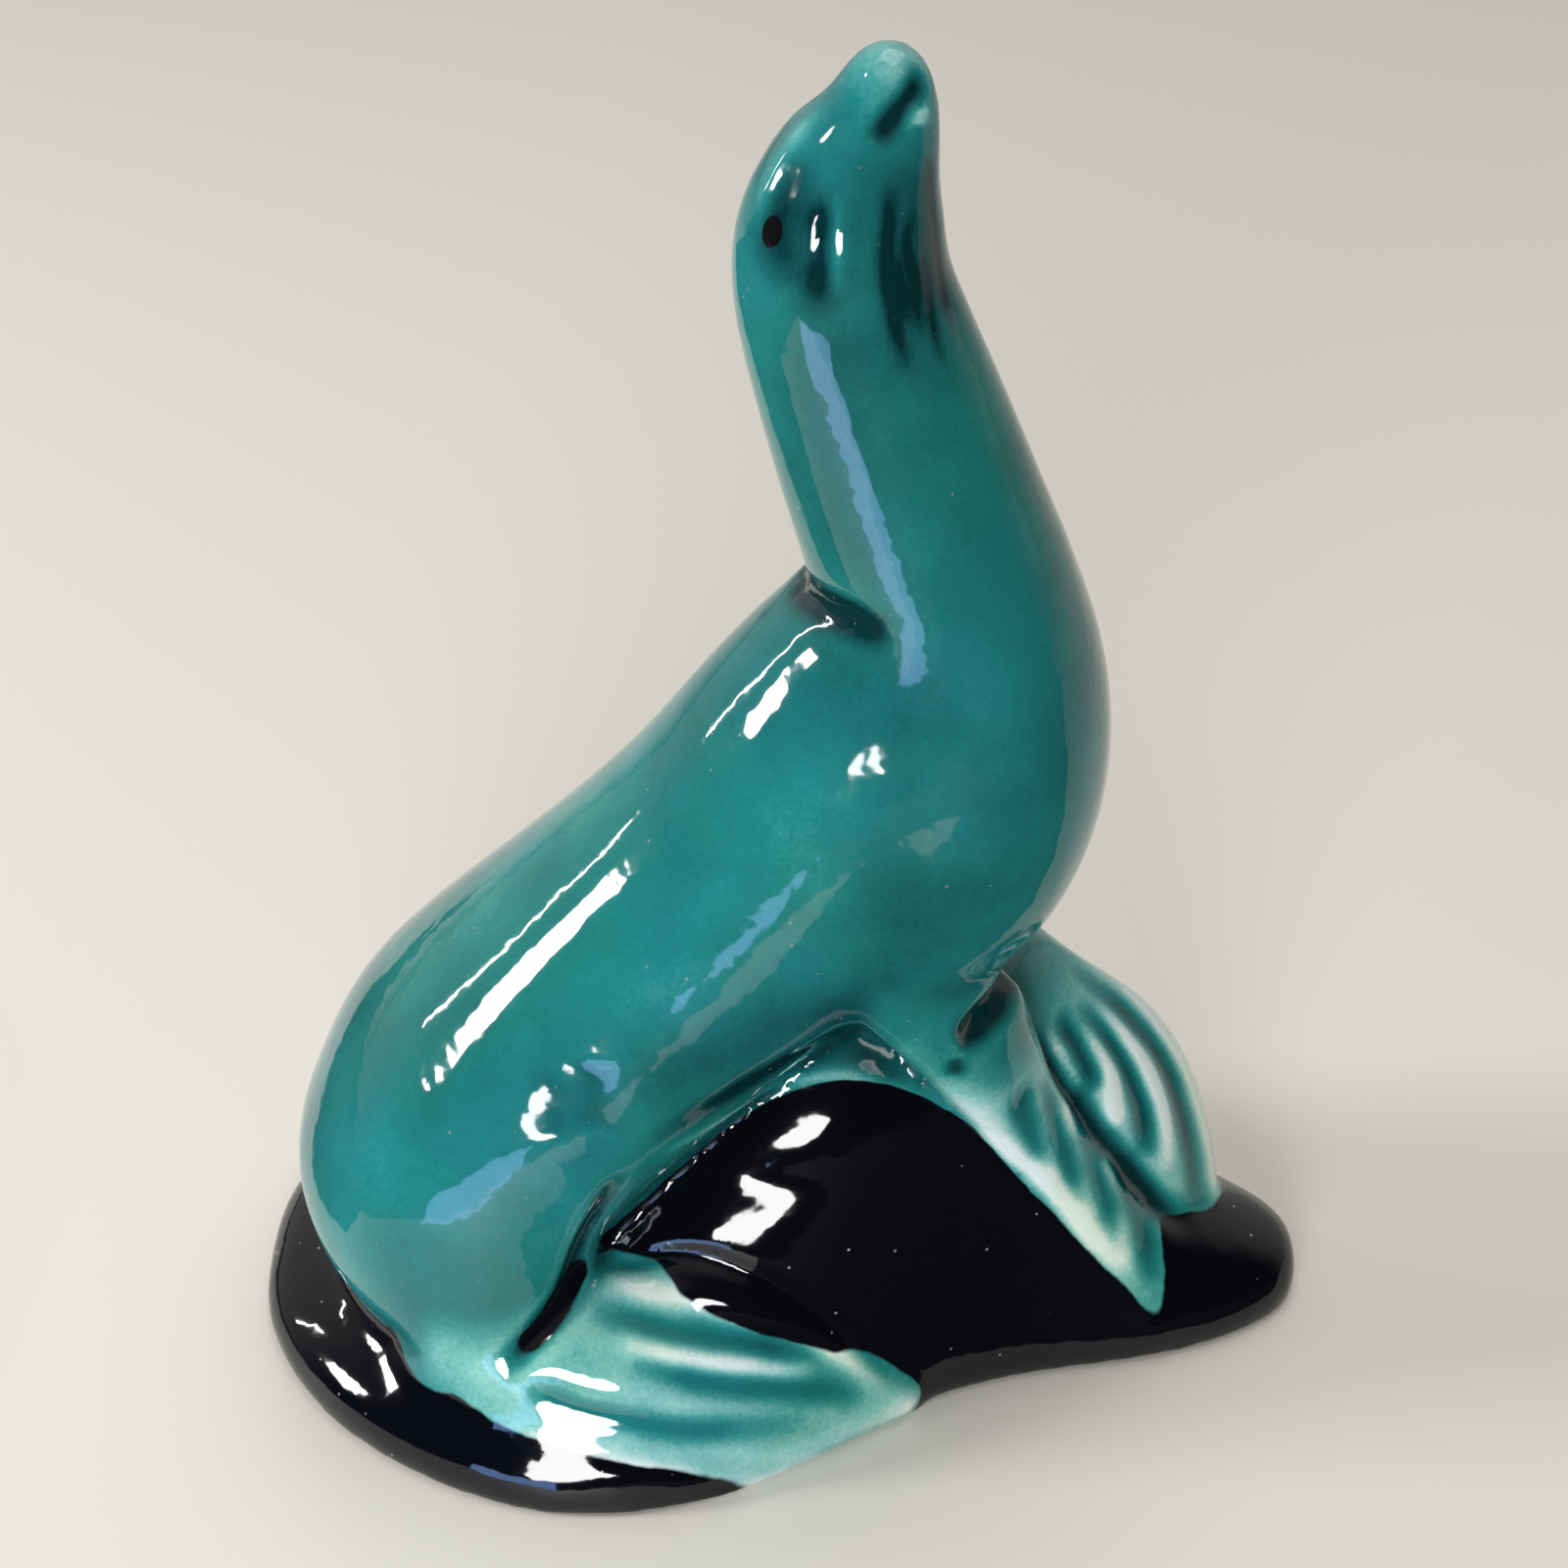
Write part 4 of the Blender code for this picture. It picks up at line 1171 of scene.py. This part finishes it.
class Graph:
    """The node tree of a material or of the world."""

    def __init__(self, tree: bpy.types.NodeTree) -> None:
        """Take a node tree."""
        self.tree = tree

    def node(
        self,
        kind: str,
        settings: dict[str, Any] | None = None,
        sockets: dict[str | int, Any] | None = None,
    ) -> bpy.types.Node:
        """Add any node.

        Args:
            kind: The node's type.
            settings: Its settings, and under stops the stops of a colour ramp.
            sockets: A value or a link for each named or numbered input.

        Returns:
            The node.
        """
        made = self.tree.nodes.new(kind)
        for key, value in (settings or {}).items():
            if key == "stops":
                self._set_stops(made.color_ramp, value)
            else:
                setattr(made, key, value)
        for key, value in (sockets or {}).items():
            self.feed(made.inputs[key], value)
        return made

    def _set_stops(self, ramp: bpy.types.ColorRamp, stops: Stops) -> None:
        """Give a colour ramp its stops.

        Args:
            ramp: The ramp.
            stops: A place from 0 to 1 and a colour for each stop.
        """
        while len(ramp.elements) < len(stops):
            ramp.elements.new(1.0)
        for element, (place, colour) in zip(ramp.elements, stops):
            element.position = place
            element.color = (*colour, 1.0)

    def feed(self, socket: bpy.types.NodeSocket, value: Any) -> None:
        """Link a wrapped socket to an input, or set a plain value on it.

        Args:
            socket: The input socket.
            value: The wrapped socket or the plain value.
        """
        if isinstance(value, Value):
            self.tree.links.new(value.socket, socket)
        else:
            socket.default_value = value

    def maths(self, operation: str, first: Any, second: Any) -> Value:
        """Add a Math node."""
        node = self.node("ShaderNodeMath", {"operation": operation}, {0: first, 1: second})
        return Value(self, node.outputs[0])

    def blend(self, factor: Any, first: Any, second: Any, kind: str = "MIX") -> Value:
        """Mix two colours.

        Args:
            factor: The share of the second colour, from 0 to 1.
            first: The first colour.
            second: The second colour.
            kind: How they are mixed, such as MIX or MULTIPLY.

        Returns:
            The mixed colour.
        """
        sockets = {0: factor, 6: first, 7: second}
        node = self.node("ShaderNodeMix", {"data_type": "RGBA", "blend_type": kind}, sockets)
        return Value(self, node.outputs[2])

    def attribute(self, name: str) -> Value:
        """Read an attribute of the surface."""
        return Value(self, self.node("ShaderNodeAttribute", {"attribute_name": name}).outputs["Fac"])

    def noise(self, place: Value, size: float, detail: float = 2.0) -> Value:
        """Make noise whose lumps are about size metres across, from about 0.3 to 0.7."""
        node = self.node("ShaderNodeTexNoise", None, {"Vector": place, "Scale": 1.0 / size, "Detail": detail})
        return Value(self, node.outputs["Fac"])

    def colours(self, factor: Value, stops: Stops) -> Value:
        """Turn a value into a colour with a ramp."""
        node = self.node("ShaderNodeValToRGB", {"stops": stops}, {"Fac": factor})
        return Value(self, node.outputs["Color"])


def new_material(name: str, mesh: bpy.types.Mesh) -> tuple[Graph, bpy.types.Node]:
    """Give a mesh a new material.

    Args:
        name: The material's name.
        mesh: The mesh, whose own materials go.

    Returns:
        The material's graph and its Principled shader.
    """
    material = bpy.data.materials.new(name)
    material.use_nodes = True
    mesh.materials.clear()
    mesh.materials.append(material)
    return Graph(material.node_tree), material.node_tree.nodes["Principled BSDF"]


@dataclass(frozen=True)
class PooledGlaze:
    """The two glazes: green that pales where it is thin and darkens where it pools, and black.

    The six greens run from bare to deepest. The shares say how much each cause adds to the
    thickness of the green. The sizes of clouds, specks, ripples and dust are in metres.
    """

    bare: Sequence[float] = (0.62, 0.72, 0.69)
    thin: Sequence[float] = (0.20, 0.46, 0.43)
    middling: Sequence[float] = (0.045, 0.255, 0.245)
    medium: Sequence[float] = (0.012, 0.165, 0.165)
    thick: Sequence[float] = (0.006, 0.078, 0.084)
    deepest: Sequence[float] = (0.001, 0.022, 0.026)
    rock: Sequence[float] = (0.0015, 0.0018, 0.0035, 1.0)
    clay: Sequence[float] = (0.52, 0.45, 0.36, 1.0)
    leafy: Sequence[float] = (1.0, 1.01, 0.90, 1.0)
    dust: Sequence[float] = (0.50, 0.47, 0.43, 1.0)
    roughness: float = 0.06
    clay_roughness: float = 0.75
    ior: float = 1.48
    middle: float = 0.63
    hollow_share: float = 0.9
    wide_hollow_share: float = 0.10
    pool_and_painted_light_share: float = 0.6
    cloud_share: float = 0.36
    speck_share: float = 0.14
    thin_share: float = 0.35
    small_cloud: float = 0.014
    large_cloud: float = 0.045
    speck: float = 0.0006
    leafy_cloud: float = 0.022
    dust_gap: float = 0.0032
    dust_cloud: float = 0.009
    border_wobble: float = 0.004
    ripple: float = 0.006
    small_ripple: float = 0.0018
    ripple_height: float = 0.00012
    # height above which cut walls are painted black, painted shade in the eye holes
    hole_shade_from: float = 0.10

    def green(self, graph: Graph, place: Value) -> Value:
        """Colour the green glaze by how thick it lies, from 0 bare to 1 deepest.

        The thickness is a middle value, plus the skin's hollowness at two scales and the pools
        along the strokes with their painted shade and sheen, plus clouds and specks, less what ran
        off the flippers.

        Args:
            graph: The material's graph.
            place: The place on the piece.

        Returns:
            The colour.
        """
        cloud = graph.noise(place, self.small_cloud, 3.0) + graph.noise(place, self.large_cloud) - 1.0
        speck = graph.noise(place, self.speck) - 0.5
        depth = graph.attribute("pool_fine") * self.hollow_share + self.middle
        depth = depth + graph.attribute("pool_wide") * self.wide_hollow_share
        # this attribute carries painted shade and painted sheen as well as glaze thickness
        depth = depth + graph.attribute("pool") * self.pool_and_painted_light_share
        depth = depth + cloud * self.cloud_share + speck * self.speck_share
        depth = depth - graph.attribute("thin") * self.thin_share
        stops = (
            (0.0, self.bare),
            (0.2, self.thin),
            (0.36, self.middling),
            (0.5, self.medium),
            (0.74, self.thick),
            (1.0, self.deepest),
        )
        leafy = graph.noise(place, self.leafy_cloud).ramp(0.42, 0.62)
        return graph.blend(leafy, graph.colours(depth, stops), self.leafy, "MULTIPLY")

    def dusted(self, graph: Graph, place: Value, on_seal: Value, colour: Value) -> Value:
        """Lay specks of dust in patches on a colour, fewer on the seal than on the rock.

        Args:
            graph: The material's graph.
            place: The place on the piece.
            on_seal: 1 on the green glaze and 0 on the black.
            colour: The colour under the dust.

        Returns:
            The colour with the dust.
        """
        cells = {"Vector": place, "Scale": 1.0 / self.dust_gap}
        grain = Value(graph, graph.node("ShaderNodeTexVoronoi", None, cells).outputs["Distance"])
        patch = graph.noise(place, self.dust_cloud).ramp(0.44, 0.56) * (0.8 - on_seal * 0.5)
        return graph.blend((1.0 - grain.ramp(0.03, 0.07)) * patch, colour, self.dust)

    def dress(self, mesh: bpy.types.Mesh) -> None:
        """Build the material and give it to the mesh.

        Cut walls have no glazed attribute: they are bare clay, and up in the head they are black,
        painted shade inside the eye holes.

        Args:
            mesh: The piece's mesh, with the attributes of its glaze.
        """
        graph, shader = new_material("two_glazes", mesh)
        place = Value(graph, graph.node("ShaderNodeTexCoord").outputs["Object"])
        wobble = (graph.noise(place, self.border_wobble) - 0.5) * 0.5
        on_seal = (graph.attribute("green") + wobble).ramp(-0.12, 0.12)
        colour = graph.blend(on_seal, self.rock, self.green(graph, place))
        colour = self.dusted(graph, place, on_seal, colour)
        height = Value(graph, graph.node("ShaderNodeSeparateXYZ", None, {0: place}).outputs["Z"])
        # painted shade: cut walls up in the head, those of the eye holes, take the black glaze's colour
        hole_shade = height.ramp(self.hole_shade_from, self.hole_shade_from + 0.02)
        glazed = graph.attribute("glazed").ramp(0.4, 0.6)
        colour = graph.blend(glazed, graph.blend(hole_shade, self.clay, self.rock), colour)
        rough = self.clay_roughness - glazed * (self.clay_roughness - self.roughness)
        ripple = graph.noise(place, self.ripple) + graph.noise(place, self.small_ripple, 1.0) * 0.12
        bumps = {"Strength": 1.0, "Distance": self.ripple_height, "Height": ripple}
        bump = graph.node("ShaderNodeBump", None, bumps)
        graph.feed(shader.inputs["Base Color"], colour)
        graph.feed(shader.inputs["Roughness"], rough)
        graph.feed(shader.inputs["Normal"], Value(graph, bump.outputs["Normal"]))
        shader.inputs["IOR"].default_value = self.ior


@dataclass(frozen=True)
class Lamp:
    """A panel lamp that looks at the figure's middle.

    Its azimuth is in degrees from +Y towards +X, its elevation in degrees above the floor, away
    is its distance from the figure's middle, and size its width and height.
    """

    name: str
    azimuth: float
    elevation: float
    away: float
    size: Sequence[float]
    watts: float
    colour: Sequence[float] = (1.0, 1.0, 1.0)
    shape: Panel = Panel.SQUARE

    def hang(self, middle: Vector) -> None:
        """Hang the lamp where the camera doesn't see it.

        Args:
            middle: The place that it looks at.
        """
        data = bpy.data.lights.new(self.name, "AREA")
        data.shape = self.shape.value
        data.size, data.size_y = self.size
        data.energy = self.watts
        data.color = self.colour
        made = bpy.data.objects.new(self.name, data)
        turn, rise = math.radians(self.azimuth), math.radians(self.elevation)
        flat = math.cos(rise)
        way = Vector((math.sin(turn) * flat, math.cos(turn) * flat, math.sin(rise)))
        made.location = middle + way * self.away
        made.rotation_euler = (-way).to_track_quat("-Z", "Y").to_euler()
        made.visible_camera = False
        bpy.context.scene.collection.objects.link(made)


LAMPS: tuple[Lamp, ...] = (
    Lamp("left_panel", -92.0, 23.0, 0.9, (0.17, 0.12), 4.6),
    Lamp("left_strip", -72.0, 20.0, 0.9, (0.012, 0.22), 0.7),
    Lamp("front_panel", -169.0, 14.0, 0.9, (0.46, 0.22), 6.4, shape=Panel.ROUND),
    Lamp("high_panel", -99.0, 49.0, 0.9, (0.09, 0.07), 0.4, shape=Panel.ROUND),
    Lamp("top_panel", 30.0, 75.0, 1.2, (0.9, 0.9), 6.5),
    Lamp("blue_window", -150.0, -8.0, 0.25, (0.11, 0.045), 0.10, colour=(0.30, 0.50, 1.0)),
)


def stage_piece(
    name: str,
    finish: str,
    points: Rows,
    faces: Sequence[Sequence[int]],
) -> tuple[bpy.types.Object, bpy.types.Node]:
    """Make a piece of the stage, which isn't part of the object.

    Args:
        name: Its name.
        finish: Its material's name.
        points: Its places, in metres.
        faces: The numbers of the places round each face.

    Returns:
        The object and its Principled shader.
    """
    mesh = bpy.data.meshes.new(name)
    mesh.from_pydata(points, [], faces)
    made = bpy.data.objects.new(name, mesh)
    bpy.context.scene.collection.objects.link(made)
    made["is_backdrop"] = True
    return made, new_material(finish, mesh)[1]


@dataclass(frozen=True)
class DarkCard:
    """A dark card that lies on the floor, so that the glaze has dark ground to reflect.

    Only reflections show it. The corners are places on the floor, in order. Near the figure
    its edge keeps just out of the rock's contact shadow.
    """

    name: str
    corners: Rows
    colour: Sequence[float] = (0.01, 0.01, 0.012, 1.0)
    height: float = 0.001

    def build(self) -> None:
        """Lay the card just above the floor."""
        points = [(*corner, self.height) for corner in self.corners]
        made, shader = stage_piece(self.name, self.name, points, [tuple(range(len(points)))])
        shader.inputs["Base Color"].default_value = self.colour
        shader.inputs["Roughness"].default_value = 1.0
        made.visible_camera = False
        made.visible_diffuse = False
        made.visible_shadow = False


CARDS: tuple[DarkCard, ...] = (
    DarkCard(
        "front_card",
        (
            (-2.5, -2.5), (2.5, -2.5), (2.5, -0.01), (0.080, -0.010), (0.055, -0.021),
            (0.030, -0.027), (0.004, -0.038), (-0.010, -0.047), (-0.02, -0.30), (-2.5, -0.30),
        ),
    ),
    DarkCard(
        "side_card",
        (
            (-2.5, -0.30), (-0.28, -0.30), (-0.20, -0.05), (-0.095, -0.02), (-0.095, 0.02),
            (-0.25, 0.35), (-2.5, 0.9),
        ),
    ),
)


@dataclass
class Studio:
    """The pale floor and wall, the lamps, the air and the camera."""

    middle: Sequence[float] = (0.0, 0.0, 0.06)
    camera_place: Sequence[float] = (0.0, -0.2775, 0.262)
    camera_pitch: float = 34.0
    lens: float = 67.5
    floor_reach: float = 3.0
    floor_colour: Sequence[float] = (0.66, 0.63, 0.57, 1.0)
    floor_roughness: float = 0.6
    wall_radius: float = 2.9
    wall_sides: int = 64
    sky: Sequence[float] = (0.80, 0.79, 0.77, 1.0)
    dim: Sequence[float] = (0.035, 0.035, 0.04, 1.0)
    sky_strength: float = 0.62

    def camera(self) -> None:
        """Stand the camera where the photograph was taken from."""
        data = bpy.data.cameras.new("camera")
        data.lens = self.lens
        made = bpy.data.objects.new("camera", data)
        made.location = self.camera_place
        made.rotation_euler = (math.radians(90.0 - self.camera_pitch), 0.0, 0.0)
        bpy.context.scene.collection.objects.link(made)
        bpy.context.scene.camera = made
        bpy.context.scene.view_settings.view_transform = "Standard"

    def lights(self) -> None:
        """Hang the lamps: windows to the left and in front, and a soft panel above."""
        for lamp in LAMPS:
            lamp.hang(Vector(self.middle))

    def air(self) -> None:
        """Make the air: pale behind and above the figure, dim in front of it.

        The brightness rises with the y of the way a ray goes, from dim at the camera's side to
        full behind the figure, and with its height.
        """
        world = bpy.data.worlds.new("pale_air")
        world.use_nodes = True
        bpy.context.scene.world = world
        graph = Graph(world.node_tree)
        way = Value(graph, graph.node("ShaderNodeTexCoord").outputs["Generated"])
        split = graph.node("ShaderNodeSeparateXYZ", None, {0: way})
        back = Value(graph, split.outputs["Y"]).ramp(-0.15, 0.55)
        above = Value(graph, split.outputs["Z"]).ramp(0.55, 0.95)
        shader = world.node_tree.nodes["Background"]
        graph.feed(shader.inputs["Color"], graph.blend(back.most(above * 0.8), self.dim, self.sky))
        shader.inputs["Strength"].default_value = self.sky_strength

    def floor(self) -> None:
        """Lay the pale floor."""
        reach = self.floor_reach
        corners = [(-reach, -reach, 0.0), (reach, -reach, 0.0), (reach, reach, 0.0), (-reach, reach, 0.0)]
        _, shader = stage_piece("floor", "pale_floor", corners, [(0, 1, 2, 3)])
        shader.inputs["Base Color"].default_value = self.floor_colour
        shader.inputs["Roughness"].default_value = self.floor_roughness

    def backdrop(self) -> None:
        """Stand a pale wall round the figure, a circle carried straight up, for the camera alone."""
        turn = np.linspace(0.0, 2.0 * np.pi, self.wall_sides + 1)
        foot = self.wall_radius * np.column_stack([np.cos(turn), np.sin(turn), 0.0 * turn])
        top = foot + np.array([0.0, 0.0, self.wall_radius])
        low = np.arange(self.wall_sides)
        high = low + self.wall_sides + 1
        faces = np.column_stack([low, low + 1, high + 1, high])
        points = np.vstack([foot, top])
        made, shader = stage_piece("backdrop", "pale_backdrop", points.tolist(), faces.tolist())
        shader.inputs["Base Color"].default_value = (0.0, 0.0, 0.0, 1.0)
        shader.inputs["Specular IOR Level"].default_value = 0.0
        shader.inputs["Emission Color"].default_value = self.sky
        shader.inputs["Emission Strength"].default_value = self.sky_strength
        made.visible_diffuse = False
        made.visible_glossy = False
        made.visible_shadow = False
        made.visible_transmission = False

    def build(self) -> None:
        """Build the whole stage round the figure."""
        self.floor()
        self.backdrop()
        for card in CARDS:
            card.build()
        self.lights()
        self.air()
        self.camera()


def main() -> None:
    """Load the frame, build the figurine, dress it and light it."""
    logging.basicConfig(level=logging.INFO, format="%(message)s")
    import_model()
    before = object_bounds()
    height = before[1].z - before[0].z
    piece = SealCasting(scale=round(height, 4) / DRAWN_HEIGHT).build()
    PooledGlaze().dress(piece.data)
    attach(piece, "root")
    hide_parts(NODE)
    LOG.info("%s: %d vertices, %d faces", PIECE, len(piece.data.vertices), len(piece.data.polygons))
    Studio().build()
    LOG.info("stage: floor, backdrop, %d dark cards and %d lamps", len(CARDS), len(LAMPS))


if __name__ == "__main__":
    main()
